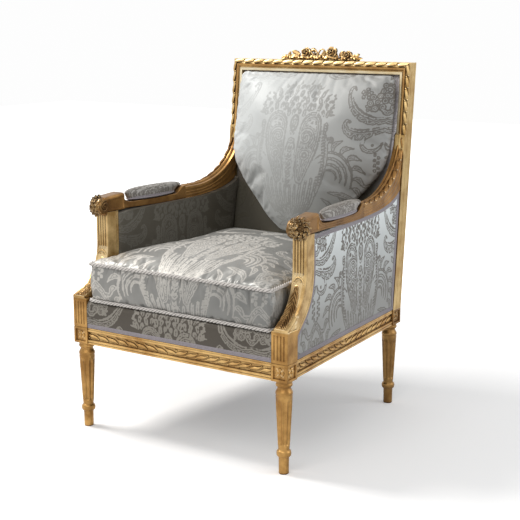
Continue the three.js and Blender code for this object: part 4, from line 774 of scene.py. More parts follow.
def post_shape(side):
    rings = []
    for z in (RAIL_TOP, 0.2925, *stepped_heights(0.293, 0.3665, *BASE_FLUTES), 0.3715, BASE_HIGH):
        trim = 0.0011 if z in (RAIL_TOP, BASE_HIGH) else 0.0
        x0, x1 = FRONT_HALF - trim, FRONT_HALF - BLOCK + trim
        yf, yr = FRONT_Y + trim, FRONT_Y + BLOCK - trim
        depth = flute_reach(z, *BASE_FLUTES, 0.0021)
        ring = [Vector((x0 - 0.0012, yf, z))]
        ring += fluted_edge(Vector((x0, yf, z)), Vector((x1, yf, z)), Vector((0, 1, 0)), depth)
        ring += [Vector((x, y, z)) for x, y in ((x1 + 0.0012, yf), (x1, yf + 0.0012), (x1, yr), (x0, yr),
                                                (x0, yf + 0.0012))]
        rings.append([Vector((side * p.x, p.y, p.z)) for p in ring])
    shape = drawn_out(rings)
    rings = []
    straight = stepped_heights(0.5160, 0.5997, 0.5180, TOP_FLUTES[1])
    pairs = [(Vector((f[0], f[1])) / 1000, Vector((r[0], r[1])) / 1000)
             for f, r in zip(console_front, console_rear)]
    pairs += [(Vector((0.097, z)), Vector((0.140, z))) for z in straight]
    for f, r in pairs:
        inwards2 = (r - f).normalized()
        def spot(d, s):
            q = f + inwards2 * s
            return on_side(side, d, FRONT_Y + q.x, q.y)
        length = (r - f).length
        inwards = (spot(0.02, 0.001) - spot(0.02, 0)).normalized()
        depth = flute_reach(f.y, *TOP_FLUTES, 0.0022) if f.x > 0.09 else 0.0
        trim = 0.0012
        ring = [spot(trim, 0)] + fluted_edge(spot(0, 0), spot(POST_WIDTH, 0), inwards, depth)
        ring += [spot(d, s) for d, s in (
            (POST_WIDTH - trim, 0), (POST_WIDTH, trim), (POST_WIDTH, length - 0.0085),
            (POST_WIDTH - 0.0010, length - 0.0077), (POST_WIDTH, length - 0.0069),
            (POST_WIDTH, length), (0, length), (0, length - 0.0069), (0.0010, length - 0.0077),
            (0, length - 0.0085), (0, 0.0075), (0.0009, 0.0067), (0, 0.0059), (0, trim))]
        rings.append(ring)
    take_in(shape, drawn_out(rings))

    # The leaf on the concave front, from its scalloped foot up to the crescents
    line = [Vector((f[0], f[1])) / 1000 for f in console_front[2:]]

    def on_front(u, w):
        k = min(len(line) - 2.001, w * (len(line) - 2))
        i = int(k)
        q = line[i].lerp(line[i + 1], k - i)
        tangent = (line[i + 1] - line[i]).normalized()
        out = Vector((-tangent.y, tangent.x))
        if out.x > 0:
            out = -out
        point = on_side(side, POST_WIDTH * (0.60 + (u - 0.5) * 0.78), FRONT_Y + q.x, q.y)
        return point, Vector((0, out.x, out.y))

    def leaf_height(u, w):
        across = abs(u - 0.5) * 2
        lobe = (w * 6.0 + across * 0.9) % 1
        outline = 1.0 - 0.60 * max(0, (w - 0.45) / 0.40) ** 1.6 - 0.14 * (1 - lobe) ** 2
        if w > 0.86 or across > outline:
            return -0.0006
        edge = min(1, (outline - across) / 0.14)
        feather = abs(math.cos(math.pi * (w * 15 + across * 2.4)))
        middle = math.exp(-(across / 0.10) ** 2)
        proud = 0.22 + 0.60 * feather + 0.22 * middle + 0.12 * lobe
        return 0.0042 * edge ** 0.6 * proud * min(1, w / 0.03, (0.86 - w) / 0.04)

    leaf = relief(on_front, 44, 150, leaf_height, root=0.0008)
    recolour(leaf)
    take_in(shape, leaf)
    for reach, thick in ((0.0150, 0.0024), (0.0088, 0.0019)):
        points = []
        for k in range(17):
            a = math.pi * (-0.04 + 1.08 * k / 16)
            level = 0.4770 + reach * math.sin(a)
            q = next(Vector((f[0], f[1])) / 1000 for f in console_front if f[1] / 1000 >= level)
            points.append(on_side(side, POST_WIDTH / 2 - reach * math.cos(a), FRONT_Y + q.x - 0.0003, level))
        take_in(shape, rod(points, thick, (0, -1, 0), taper=0.6))

    # A small scroll of leaf low on the outer side
    for mm, z, turn, size in ((52, 0.393, 200, 0.022), (60, 0.402, 170, 0.016), (46, 0.384, 232, 0.014)):
        base = framed((0, 1, 0), (0, 0, 1), (1, 0, 0), (side_x(deep(mm)) - 0.0006, deep(mm), z))
        scroll = carved_leaf(size, size * 0.5, 0.0014, steps=6, thickness=0.0010)
        take_in(shape, scroll, Matrix.Diagonal((side, 1, 1, 1)) @ base @ turned(turn, "Z"))
    return shape

post_gilt = gilt("post_gilt", (0.74, 0.52, 0.235), (0.40, 0.235, 0.077), glaze_amount=1.8, reach=0.008)
acanthus_gilt = gilt("acanthus_gilt", (0.46, 0.29, 0.115), (0.20, 0.105, 0.03), glaze_amount=2.0, reach=0.005)
for side, label in SIDES:
    shape = post_shape(side)
    for face in shape.faces:
        if face.calc_center_median().z < TONED_BELOW:
            face.material_index = 2
    piece = finished(shape, f"carved_arm_post_{label}", post_gilt, acanthus_gilt, leg_gilt)
    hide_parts(f"arm_post_{label}")

# Arms: a knuckle with a ball of whorled leaves on its outer front corner, leaf scales beside the
# ball and a volute on the inner side; behind it a block with a sunk panel, and a slimmer rail,
# scooped for the arm rest pad, that runs back into the sweep.
ARM_WIDTH = 0.042
ARM_RAIL_WIDTH = 0.034
# The knuckle's axis as depth and height, its radius, and how far its wood lies below that, in mm
KNUCKLE = (86.0, 617.0, 25.0)
KNUCKLE_NOSE = 3.5
# How far the wood is cut back from the outer side to let the ball in, and where the ball stands
CORNER_CUT = 0.0150
BALL_RADIUS = 0.0230
BALL_PROUD = 0.0055
BALL_SETBACK = 3.5
BALL_WAY = (0.66, -0.72, 0.20)
WHORL_LEAN = 56
# The leaf scales: rows, degrees from row to row, columns, and metres from column to column
SCALE_ROWS, SCALE_TURN, SCALE_COLUMNS, SCALE_STEP = 6, 27, 2, 0.0125
# How many leaves stand in each whorl of the knuckle, its angle from the middle, their length and width
KNUCKLE_WHORLS = (
    (12, 100, 0.020, 0.0095), (11, 78, 0.019, 0.0092), (9, 56, 0.017, 0.0086), (6, 36, 0.014, 0.0078),
    (3, 16, 0.009, 0.0070),
)
SWEEP_SECTION = (
    (34.0, 6.4), (33.4, 5.0), (27.0, 4.6), (26.4, 5.8), (24.6, 6.2), (23.6, 5.4), (22.8, 3.2), (21.2, 1.4),
    (18.6, 0.3), (16.0, 0.4), (15.0, 1.6), (14.2, 4.0), (13.0, 5.6), (11.6, 6.2), (1.6, 6.4), (0.0, 8.0),
)

def arm_outline():
    """The arm in side view: matching points of its upper and lower edges, in metres."""
    y0, z0, r = KNUCKLE
    steps = [math.radians(a) for a in range(4, 91, 8)] + [math.radians(90)]
    nose = r - KNUCKLE_NOSE
    upper = [(y0 - nose * math.cos(a), z0 + nose * math.sin(a)) for a in steps]
    lower = [(y0 - nose * math.cos(a), z0 - nose * math.sin(a)) for a in steps]
    for y, low in ((88, 592.1), (92, 592.7), (96.4, 594.3), (96.8, 600.0)):
        upper.append((y, 642.2))
        lower.append((y, low))
    for y in (107, 108, 109.2, 120, 132, 144, 155, 160.6, 161.8, 163, 164.6, 165.6):
        upper.append((y, 642.6 + 5.0 * min(1.0, (y - 100) / 58) - 1.5 * max(0.0, y - 163)))
        lower.append((y, 600.0))
    return upper, lower

def block_section(y):
    """How far the flat of the arm block is sunk at a depth: nothing at its ends, full between."""
    return 0.0014 * max(0.0, min(1.0, (y - 107.5) / 1.6, (162.6 - y) / 1.6))

def arm_shape(side):
    upper, lower = arm_outline()
    rings = []
    for (y, zu), (_, zl) in zip(upper, lower):
        high, low, sunk = zu / 1000, zl / 1000, block_section(y)
        tall = high - low
        edge = min(0.0040, tall * 0.25)
        band = min(0.0075, tall * 0.3)
        lip = min(0.001, tall * 0.05)
        outer = [(0.0022, low), (0.0, low + min(0.0022, tall * 0.2)), (0.0, low + band - lip),
                 (sunk, low + band), (sunk, high - edge - band), (0.0, high - edge - band + lip),
                 (0.0, high - edge), (0.0012, high - edge * 0.4), (0.0045, high - edge * 0.05),
                 (0.012, high)]
        row = outer + [(ARM_WIDTH - d, z) for d, z in reversed(outer)]
        cut = CORNER_CUT * max(0.0, min(1.0, (90 - y) / 4))
        rings.append([on_side(side, max(d, cut), deep(y), z) for d, z in row])
    shape = drawn_out(rings)

    # The rail behind the block
    scoop = curve((164, 645), (170, 630), (180, 617), (207, 616), 12)
    level = [(y, 616.0) for y in range(227, 386, 20)]
    climb = curve((385, 616), (409.5, 616), (409.5, 637), (434, 637), 10)[1:]
    rings = []
    for y, high in (*scoop, *level, *climb):
        share = max(0.0, (y - 205) / 229)
        low = (600 - 5 * math.sin(min(1.0, share) * math.pi / 2 * 1.12)) / 1000 if share else 0.6
        high /= 1000
        tall = high - low
        row = [(0.0016, low), (0.0, low + 0.0016), (0.0, low + 0.0040), (0.0012, low + 0.0050),
               (0.0012, low + tall * 0.5 - 0.0018), (0.0002, low + tall * 0.5 - 0.0006),
               (0.0002, low + tall * 0.5 + 0.0006), (0.0012, low + tall * 0.5 + 0.0018),
               (0.0012, high - 0.0050), (0.0, high - 0.0040), (0.0, high - 0.0014), (0.0014, high),
               (ARM_RAIL_WIDTH - 0.0014, high), (ARM_RAIL_WIDTH, high - 0.0014),
               (ARM_RAIL_WIDTH, low + 0.0016), (ARM_RAIL_WIDTH - 0.0016, low)]
        rings.append([on_side(side, d, deep(y), z) for d, z in row])
    take_in(shape, drawn_out(rings))

    # Leaf scales on its inner half: rows of pointed leaves that lap like fish scales
    y0, z0, radius = KNUCKLE
    before = len(shape.faces)
    for row in range(SCALE_ROWS):
        angle = math.radians(-52 + row * SCALE_TURN)
        out = Vector((0, -math.cos(angle), math.sin(angle)))
        down = Vector((0, -math.sin(angle), -math.cos(angle)))
        foot, reach = angle + math.radians(21), radius - 2.0
        y, z = deep(y0 - reach * math.cos(foot)), (z0 + reach * math.sin(foot)) / 1000
        for k in range(SCALE_COLUMNS):
            d = ARM_WIDTH - 0.0075 - SCALE_STEP * k - 0.006 * (row % 2)
            absorb(shape, scale_unit, framed(down, out.cross(down), out, on_side(side, d, y, z)))
    recolour(shape, 1, before)

    # The ball: leaves that whorl round the way it looks
    ball = bmesh.new()
    bmesh.ops.create_uvsphere(ball, u_segments=32, v_segments=20, radius=BALL_RADIUS)
    towards = Vector((side * BALL_WAY[0], *BALL_WAY[1:])).normalized()
    sideways = towards.cross(Vector((0, 0, 1))).normalized()
    upwards = sideways.cross(towards)
    for count, polar, length, wide in KNUCKLE_WHORLS:
        p = math.radians(polar)
        for k in range(count):
            a = math.tau * (k + polar / 50) / count
            ring = sideways * math.cos(a) + upwards * math.sin(a)
            out = towards * math.cos(p) + ring * math.sin(p)
            inward = towards * math.sin(p) - ring * math.cos(p)
            way = (Matrix.Rotation(math.radians(WHORL_LEAN), 3, out) @ inward).normalized()
            base = framed(way, out.cross(way), out, out * (BALL_RADIUS - 0.0010))
            absorb(ball, side_leaf_unit, base @ turned(-11, "Y") @ Matrix.Diagonal((length, wide, 0.042, 1)))
    recolour(ball)
    middle = on_side(side, BALL_RADIUS - BALL_PROUD, deep(y0 + BALL_SETBACK), z0 / 1000)
    take_in(shape, ball, Matrix.Translation(middle) @ Matrix.Diagonal((0.92, 1, 1, 1)))

    # The volute on the inner side: a flat band that winds in to an eye
    turns = []
    for k in range(70):
        share = k / 69
        a = math.radians(60 + 590 * share)
        reach = (16.5 - 11.5 * share) / 1000
        turns.append(on_side(side, ARM_WIDTH, deep(y0) + reach * math.cos(a),
                             z0 / 1000 + reach * math.sin(a)))
    volute = rod(turns, 0.0034, (side, 0, 0), sides=10, flat=0.85, taper=0.3)
    eye = bmesh.new()
    bmesh.ops.create_uvsphere(eye, u_segments=14, v_segments=8, radius=0.0040)
    middle = Matrix.Translation(on_side(side, ARM_WIDTH, deep(y0), z0 / 1000))
    take_in(volute, eye, middle @ Matrix.Diagonal((0.8, 1, 1, 1)))
    recolour(volute)
    take_in(shape, volute)
    return shape

scale_unit = carved_leaf(0.0185, 0.0150, 0.0030, curl=0.0012, tip=0.62, thickness=0.0014)
side_leaf_unit = carved_leaf(1.0, 1.0, 0.085, curl=0.02, ribs=3, tip=0.85, steps=8, thickness=0.05)
# The arms take a darker copy of the gilt: painted shade on their faces turned from the lamps
arm_gilt_painted_shade = gilt("arm_gilt_painted_shade", (0.31, 0.16, 0.047), (0.18, 0.085, 0.022), glaze_amount=1.3, reach=0.008)
leaf_gilt = gilt("leaf_gilt", (0.28, 0.165, 0.056), (0.12, 0.06, 0.016), glaze_amount=2.2, reach=0.006)
for side, label in SIDES:
    piece = finished(arm_shape(side), f"carved_arm_{label}", arm_gilt_painted_shade, leaf_gilt)
    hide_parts(f"arm_{label}")

# Arm sweeps: a curved spandrel from the arm up into the stile. Its upper edge carries the back
# frame's moulding and rope on; three veins follow the curve on its sides.
def sweep_outline(count):
    """Matching points of the sweep's upper and lower edges in side view, in metres."""
    top, bottom = [], []
    tip = stile_front(SWEEP_TOP) - FRONT_Y + 0.0010
    reach = tip - 0.480
    under = curve((434.3, 597.5), (557.6, 599.2), (638.2, 611.9), (676.8, 640), count + 1)
    for k in range(count + 1):
        share = k / count
        if share < 0.12:
            top.append((0.4343 + (0.480 - 0.4343) * share / 0.12, 0.637))
        else:
            a = math.pi / 2 * ((share - 0.12) / 0.88)
            top.append((0.480 + reach * math.sin(a), 0.800 - 0.163 * math.cos(a)))
        bottom.append((under[k][0] / 1000, under[k][1] / 1000))
    return top, bottom

SWEEP_WIDTH = 0.034

def sweep_shape(side):
    top, bottom = sweep_outline(44)
    rings, ridge, faces = [], [], []
    for k, (t, b) in enumerate(zip(top, bottom)):
        t, b = Vector(t), Vector(b)
        along = Vector(top[min(k + 1, len(top) - 1)]) - Vector(top[max(k - 1, 0)])
        inward2 = Vector((along.y, -along.x)).normalized()
        inward2 = inward2.lerp((b - t).normalized(), 0.25 + 0.5 * k / len(top)).normalized()
        def spot(d, s):
            q = t + inward2 * min(s, 0.012) + (b - t) * (max(0.0, s - 0.012) / max(1e-6, (b - t).length))
            return on_side(side, d, FRONT_Y + q.x, q.y)
        wide = lerp(SWEEP_WIDTH, STILE_WIDTH, between(k, 36, 44))
        ring = [spot(s / 34 * wide, d / 1000) for s, d in SWEEP_SECTION]
        q = t + inward2 * 0.012
        left = Vector(b) - q
        def down(d, share):
            place = q + left * share
            return on_side(side, d, FRONT_Y + place.x, place.y)
        veins = [(0.0, 0.04), (0.0013, 0.10)]
        for centre in (0.36, 0.68):
            veins += [(0.0013, centre - 0.07), (0.0003, centre - 0.03), (0.0003, centre + 0.03),
                      (0.0013, centre + 0.07)]
        veins += [(0.0013, 0.90), (0.0002, 0.94), (0.0, 0.985), (0.0015, 1.0)]
        ring += [down(d, share) for d, share in veins]
        ring += [down(wide - d, share) for d, share in reversed(veins)]
        rings.append(ring)
        ridge.append(spot(0.0055, 0.0052))
        normal = -inward2
        faces.append(Vector((side * 0.55, normal.x, normal.y)).normalized())
    shape = drawn_out(rings)
    spots = list(zip(ridge, faces))
    rope(shape, ridge[1:-1], lambda place: min(spots, key=lambda pair: (pair[0] - place).length)[1], side)
    return shape

# The sweeps take a darker copy of the gilt: painted shade on their faces turned from the lamps
sweep_gilt_painted_shade = gilt("sweep_gilt_painted_shade", (0.39, 0.205, 0.06), (0.22, 0.105, 0.027), glaze_amount=1.3, reach=0.008)
for side, label in SIDES:
    piece = finished(sweep_shape(side), f"carved_arm_sweep_{label}", sweep_gilt_painted_shade)
    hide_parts(f"arm_sweep_{label}")

# Crest: three open roses, a bud under a ribbon bow, and leaves that trail to both sides, carved in
# the round from one piece and set on the top rail with two dowels.
CREST_Y = (stile_front(BACK_TOP) + stile_rear(BACK_TOP)) / 2

# Each ring of petals from the outside in: their number, length, width, curl, height and tilt
PETAL_RINGS = (
    (5, 1.02, 0.95, 0.16, 0.00, 8), (5, 0.78, 0.80, 0.34, 0.16, 26), (4, 0.52, 0.60, 0.38, 0.30, 46),
)

def rose_shape(radius):
    """An open rose that faces +Z: three rings of cupped petals round a coiled heart."""
    shape = bmesh.new()
    for ring, (count, reach, wide, curl, lift, tilt) in enumerate(PETAL_RINGS):
        petal = carved_leaf(radius * reach, radius * wide, radius * 0.16, curl=radius * curl, tip=1.5,
                            steps=6, thickness=radius * 0.10)
        raised = Matrix.Translation((0, 0, radius * lift))
        take_in(shape, petal, *[Matrix.Rotation(math.tau * (i + ring * 0.5) / count, 4, "Z") @ raised
                                @ turned(-tilt, "Y") for i in range(count)])
    coil = [Vector((radius * 0.05 * a * math.cos(a), radius * 0.05 * a * math.sin(a),
                    radius * (0.62 - 0.012 * a * a))) for a in [0.6 * k for k in range(1, 12)]]
    take_in(shape, rod(coil, radius * 0.10, (0, 0, 1), sides=6))
    under = bmesh.new()
    bmesh.ops.create_uvsphere(under, u_segments=14, v_segments=8, radius=radius * 0.62)
    take_in(shape, under, Matrix.Translation((0, 0, -radius * 0.05)) @ Matrix.Diagonal((1, 1, 0.72, 1)))
    return shape

crest = bmesh.new()

def on_crest(x, z, forwards):
    """The placement at a spot on the crest in millimetres, facing the front."""
    return framed((1, 0, 0), (0, 0, 1), (0, -1, 0), (x / 1000, CREST_Y - forwards, z / 1000))

# Roses and the bud: across and up in millimetres, radius, and turn in degrees
for x, z, radius, turn in (
        (-51, 1021, 17.5, 10), (38, 1023.5, 18.5, 40), (92, 1015, 15.5, 75), (-22, 1013, 10, 20)):
    place = on_crest(x, z, 0.002)
    behind = Matrix.Translation((2 * x / 1000, 2 * CREST_Y, 0)) @ Matrix.Diagonal((-1, -1, 1, 1)) @ place
    take_in(crest, rose_shape(radius / 1000), place @ turned(-16, "X") @ turned(turn, "Z"),
            behind @ Matrix.Diagonal((1, 1, 0.45, 1)))
leaf = carved_leaf(1.0, 1.0, 0.16, curl=0.10, tip=0.75, steps=8, thickness=0.07)
# Leaves: across and up in millimetres, angle, length and width
for x, z, angle, size, wide in (
        (-70, 1006, 168, 38, 15), (-96, 1005, 176, 44, 14), (-76, 1014, 150, 28, 14),
        (-36, 1004, 200, 26, 15), (-112, 1004, 184, 26, 11), (-60, 1002, 190, 30, 14),
        (-8, 1004, 150, 24, 14), (10, 1003, 30, 26, 14),
        (4, 1008, 62, 24, 13), (20, 1004, 8, 28, 14), (66, 1010, 60, 22, 14), (70, 1004, 20, 28, 14),
        (104, 1004, 8, 34, 13), (98, 1004, -4, 30, 14), (54, 1003, 176, 26, 14), (-20, 1024, 130, 16, 10),
        (112, 1010, 34, 20, 11), (-30, 1006, 250, 18, 12), (44, 1004, 300, 18, 12)):
    for facing in (1, -1):
        absorb(crest, leaf, on_crest(x, z, 0.004 * facing) @ Matrix.Diagonal((1, 1, facing, 1))
               @ turned(angle, "Z") @ Matrix.Diagonal((size / 1000, wide / 1000, 0.024, 1)))
for k in range(24):
    place = on_crest(-124 + 10.6 * k, 1003 + 3.2 * (k * 2 % 3), 0.003 + 0.0022 * (k % 3))
    size = 15 + 4 * math.sin(1.7 * k)
    for angle in (35 + 30 * math.sin(2.3 * k), 145 + 30 * math.sin(1.9 * k)):
        absorb(crest, leaf, place @ turned(angle, "Z") @ Matrix.Diagonal((size / 1000, 0.0105, 0.028, 1)))
    absorb(crest, bead_unit, place @ Matrix.Translation((0, 0.0005, 0.0035)) @ Matrix.Scale(0.0040, 4))
leaf.free()
for points in (((-8, 1010), (-24, 1016), (-30, 1028), (-18, 1031), (-9, 1020), (-8, 1011)),
               ((-8, 1010), (6, 1018), (14, 1030), (4, 1033), (-5, 1022), (-8, 1011)),
               ((-8, 1010), (-3, 1004), (2, 1001.5)), ((-8, 1010), (-14, 1005), (-18, 1001.5))):
    line = smooth_path([(x / 1000, CREST_Y - 0.0065, z / 1000) for x, z in points], 6)
    take_in(crest, rod(line, 0.0022, (0, -1, 0), flat=1.6))
take_in(crest, block((-0.128, CREST_Y - 0.0075, BACK_TOP),
                     (0.128, CREST_Y + 0.0075, BACK_TOP + 0.0055), 0.002))
crest_gilt = gilt("crest_gilt", (0.78, 0.53, 0.23), (0.46, 0.26, 0.09), glaze_amount=1.4, reach=0.009)
piece = finished(crest, "carved_crest", crest_gilt)
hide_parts("crest_carving")

# Outside arm panels: silk damask over a thin pad, set in the opening of the side and edged all
# round with a narrow gimp. The cloth's mesh is fine enough to carry the woven pattern.
under_sweep = curve((434.3, 597.2), (557.6, 598.9), (638.2, 611.6), (676.5, 639.7), 60)
rear_of_post = curve((48.3, 346), (75.2, 386), (140.3, 399.3), (140.3, 506), 40)
PANEL_FOOT, PANEL_HEAD = 0.2914, 0.6397
GIMP_FOOT = 291.6
PAD_FOOT = 0.3655
PAD_PLANE = 0.042
DECK_TOP = 0.365
FIT = 0.0004

def side_opening(z):
    """The front and rear ends of the side's opening at a height, as depths in metres."""
    mm = z * 1000
    rear = stile_front(z) - FRONT_Y - FIT
    if mm < 346:
        return 0.0483, rear
    if mm < 506:
        k = next(i for i in range(1, len(rear_of_post)) if rear_of_post[i][1] >= mm)
        a, b = rear_of_post[k - 1], rear_of_post[k]
        return lerp(a[0], b[0], between(mm, a[1], b[1])) / 1000, rear
    if mm < 595.5:
        return 0.1403, rear
    if mm < 598.2:
        return lerp(0.1403, under_sweep[12][0] / 1000, between(mm, 595.5, 598.2) ** 1.5), rear
    k = next((i for i in range(1, len(under_sweep)) if under_sweep[i][1] >= mm), len(under_sweep) - 1)
    a, b = under_sweep[k - 1], under_sweep[k]
    return lerp(a[0], b[0], between(mm, a[1], b[1])) / 1000, rear

def back_pad_face(z):
    """The depth of the inside back's face at a height, in metres."""
    share = (z - DECK_TOP) / (TOP_RAIL_BOTTOM - DECK_TOP)
    return lerp(stile_front(DECK_TOP) - FRONT_Y - 0.025,
                stile_front(TOP_RAIL_BOTTOM) - FRONT_Y + 0.014, share)

def soft_edge(share, steep=7.0):
    """Full in the middle and falling round to nothing at both ends of a share from 0 to 1."""
    end = min(share, 1 - share) * 2
    return (1 - (1 - min(1.0, end * steep)) ** 2) ** 0.5

# The damask that covers every soft piece: a dome of petals over two curled lobes on one axis, and
# acanthus leaves with a flower on the next, mirrored about both. It is drawn in millimetres as
# strokes of changing width, and each piece keeps its distance to the figure at every point.
REPEAT_HALF, REPEAT_TOP, REPEAT_TALL = 265, 120, 560
figure, lines = [], []

def draw(strokes, *points, steps=6):
    """Adds a smooth stroke through (across, up, half width) points."""
    path = smooth_path(points, steps)
    strokes += list(zip(path, path[1:]))

def trace(strokes, width, *points, steps=6):
    """Adds a smooth stroke of one half width through (across, up) points."""
    draw(strokes, *[(x, z, width) for x, z in points], steps=steps)

def dot(strokes, x, z, radius, tall=0.1):
    strokes.append((Vector((x, z - tall, radius)), Vector((x, z + tall, radius))))

def ring_of(strokes, x, z, radius, width, start=0, turns=1.0, shrink=0.0):
    """Adds a circle, or a spiral where it shrinks."""
    count = max(8, int(24 * turns))
    steps = [(k / count, math.radians(start) + math.tau * turns * k / count) for k in range(count + 1)]
    draw(strokes, *[(x + radius * (1 - shrink * share) * math.cos(a),
                     z + radius * (1 - shrink * share) * math.sin(a), width) for share, a in steps], steps=1)

def around(x, z, wide, tall, angle, width):
    """A stroke's point on an ellipse round a middle."""
    return x + wide * math.cos(angle), z + tall * math.sin(angle), width

# The dome of petals
for row in range(5):
    z = 24 + 18 * row
    reach = 112 * math.sqrt(1 - ((z - 15) / 104) ** 2)
    for k in range(7):
        x = 9.5 * (row % 2 == 0) + 19 * k + 3 * math.sin(5 * k + 3 * row) * (k > 0)
        if x < reach - 6:
            lean = 2.6 * math.sin(3 * k + row)
            draw(figure, (x - lean, z - 5, 4 + 2.5 * ((k + row) % 2)), (x + lean, z + 4, 6.6), steps=1)
            draw(lines, (x - lean, z - 7, 0.9), (x + lean * 0.5, z + 3, 1.2), steps=1)
for angle in range(4, 90, 11):
    a = math.radians(angle)
    draw(figure, around(0, 14, 114, 96, a, 4.2), around(0, 14, 126, 106, a, 1.6))
# The tulip between the lobes, and the lobes with their scrolls
draw(figure, (0, -30, 9), (0, -10, 15), (0, 8, 12))
trace(lines, 1.4, (0, -36), (13, -20), (17, 0), (9, 17), (0, 24))
trace(lines, 1.3, (0, -22), (7, -10), (7, 3), (0, 12))
draw(figure, (57, -6, 34), (58, -40, 37), (53, -80, 32), (45, -118, 23), (37, -160, 14))
trace(lines, 1.6, (21, -46), (20, -10), (36, 21), (60, 30), (84, 19), (96, -12), (95, -52), (84, -92),
      (70, -130), (60, -165))
trace(lines, 1.3, (30, -70), (28, -16), (40, 8), (60, 17), (78, 8), (86, -16), (84, -54), (74, -92),
      (60, -128))
draw(figure, (0, -56, 12), (0, -90, 20), (0, -130, 22), (0, -170, 16))
for k in range(3):
    draw(lines, (7 + 6 * k, -62 - 12 * k, 1.3), (12 + 3 * k, -110, 1.5), (9 + 2 * k, -176, 1.3))
for k in range(5):
    draw(lines, *[(x, z - 24 * k, 1.3) for x, z in ((0, -70), (6, -62), (9, -74), (0, -82))], steps=3)
ring_of(lines, 47, -42, 27, 1.7, start=-60, turns=1.7, shrink=0.86)
ring_of(lines, 49, -92, 11, 1.4)
dot(lines, 49, -92, 3.0)
trace(lines, 1.3, (48, -106), (42, -130), (38, -160))
# The small ear, the scroll and the chain beside them
dot(figure, 105, -12, 8, 5)
dot(lines, 105, -12, 2.6)
ring_of(figure, 124, -46, 9, 2.8, start=150, turns=0.85, shrink=0.35)
for k in range(7):
    dot(figure, 112 + 4 * (k % 2), 74 - 9 * k, 3.6, 1.0)
# The ribbed band that runs down outside each lobe
draw(figure, (101, -28, 8), (108, -60, 10), (112, -96, 10), (107, -134, 9), (98, -170, 7), (84, -206, 4))
for k in range(17):
    z = -36 - 8.5 * k
    x = 108 - ((k - 7) / 9) ** 2 * 9
    draw(lines, (x - 15, z - 2, 1.1), (x + 1, z + 1, 1.1), steps=1)
# The palmette outside the band, with its bud and the dark leaves behind it
for radius, width in ((18, 4.5), (32, 5.2), (47, 5.6), (62, 4.6)):
    draw(figure, *[(128 + radius * math.cos(a), -150 + radius * math.sin(a) * 1.12,
                    width * (0.4 + 0.6 * math.sin(math.pi * s)))
                   for s, a in [(k / 8, math.radians(-30 + 168 * k / 8)) for k in range(9)]], steps=2)
for angle in (104, 84, 62, 40, 18, -4, -26):
    a, b = math.radians(angle), math.radians(angle - 13)
    draw(figure, around(128, -150, 66, 74, a, 3.5), around(128, -150, 80, 90, a, 8.5),
         around(128, -150, 97, 108, b, 2.2), steps=4)
draw(figure, (122, -196, 3), (142, -200, 7), (168, -208, 9), (192, -226, 7), (200, -248, 3))
draw(figure, (150, -206, 3), (158, -224, 5), (150, -240, 2.5))
draw(figure, (104, -214, 3), (122, -232, 7), (126, -256, 6), (114, -276, 2.5))
# The reeds below the lobes and the palmette they stand on
for k in range(6):
    x = 8 + 16 * k
    draw(figure, (x * 1.05, -186 + 7 * k, 4.6), (x * 0.86, -222, 5.2), (x * 0.55, -262, 3.2))
for angle in (90, 62, 34, 6, -24):
    a = math.radians(angle)
    draw(figure, (0, -284, 5), around(0, -284, 26, 30, a, 7), around(0, -284, 46, 50, a, 3))
dot(lines, 0, -284, 5)
# The basket below, with leaves to both sides
draw(figure, (0, -336, 16), (0, -356, 25), (0, -384, 20), (0, -404, 10))
for k in range(4):
    draw(lines, (-30, -330 - 20 * k, 1.4), (30, -346 - 20 * k, 1.4), steps=1)
draw(figure, (28, -352, 5), (62, -326, 9), (104, -330, 11), (136, -358, 9), (142, -396, 5), (126, -410, 3))
draw(figure, (36, -400, 5), (70, -424, 9), (112, -426, 9), (150, -414, 5), (176, -392, 3))
trace(lines, 1.4, (46, -342), (80, -326), (120, -340), (136, -376))
trace(lines, 1.3, (52, -412), (90, -426), (140, -418))
# The next axis: an acanthus leaf that sweeps down to it, with flowers above
draw(figure, (172, 92, 3.4), (164, 100, 4.4), (156, 92, 5.5), (164, 66, 8.5), (182, 38, 12), (208, 18, 14),
     (238, 9, 12), (265, 14, 9))
trace(lines, 1.5, (162, 84), (174, 56), (198, 30), (232, 16), (265, 20))
for x, z in ((172, 44), (190, 22), (214, 6), (242, 0)):
    draw(lines, (x - 12, z - 12, 2.6), (x, z, 1.2), steps=1)
for x, z, radius, petals in ((238, 62, 19, 6), (206, 84, 12, 5), (265, 98, 16, 6), (220, 46, 9, 5)):
    for k in range(petals):
        a = math.tau * (k + 0.25) / petals
        dot(figure, x + radius * math.cos(a), z + radius * math.sin(a), radius * 0.52)
    dot(figure, x, z, radius * 0.42)
draw(figure, (262, 34, 8), (250, 42, 5))
# The curled leaf, the scroll and the chain under it
draw(figure, (174, 4, 3.6), (165, 8, 5), (159, -4, 7), (166, -18, 11), (184, -27, 15), (208, -29, 16),
     (234, -21, 12), (265, -12, 8))
trace(lines, 1.4, (172, -12), (196, -20), (230, -16), (265, -6))
for x, z in ((186, -50), (212, -52), (236, -42)):
    draw(lines, (x, z, 4.5), (x + 3, z + 16, 1.4), steps=1)
draw(figure, (218, -44, 3), (211, -56, 5.5), (220, -71, 7), (240, -74, 6.5), (256, -64, 5), (261, -50, 3))
dot(figure, 238, -58, 4.4)
for k in range(8):
    dot(figure, 247 + 9 * (k % 2), -84 - 7.5 * k, 4.4, 1.2)
draw(figure, (265, -150, 9), (243, -172, 9), (228, -204, 8), (238, -240, 6), (260, -254, 4))
draw(figure, (243, -172, 4), (222, -176, 6), (208, -166, 3))
for angle in (-90, -120, -150, 180, 150, 120, 90):
    a = math.radians(angle)
    draw(figure, around(265, -222, 12, 12, a, 4), around(265, -222, 30, 30, a, 7.5))
dot(figure, 265, -222, 7)
draw(figure, (265, -262, 4), (265, -340, 5), (265, -430, 4))
for z in (-290, -330, -370, -408):
    draw(figure, (264, z - 10, 4), (246, z + 4, 8), (226, z + 14, 7), (208, z + 10, 3))
    trace(lines, 1.2, (258, z - 2), (238, z + 9), (222, z + 13))

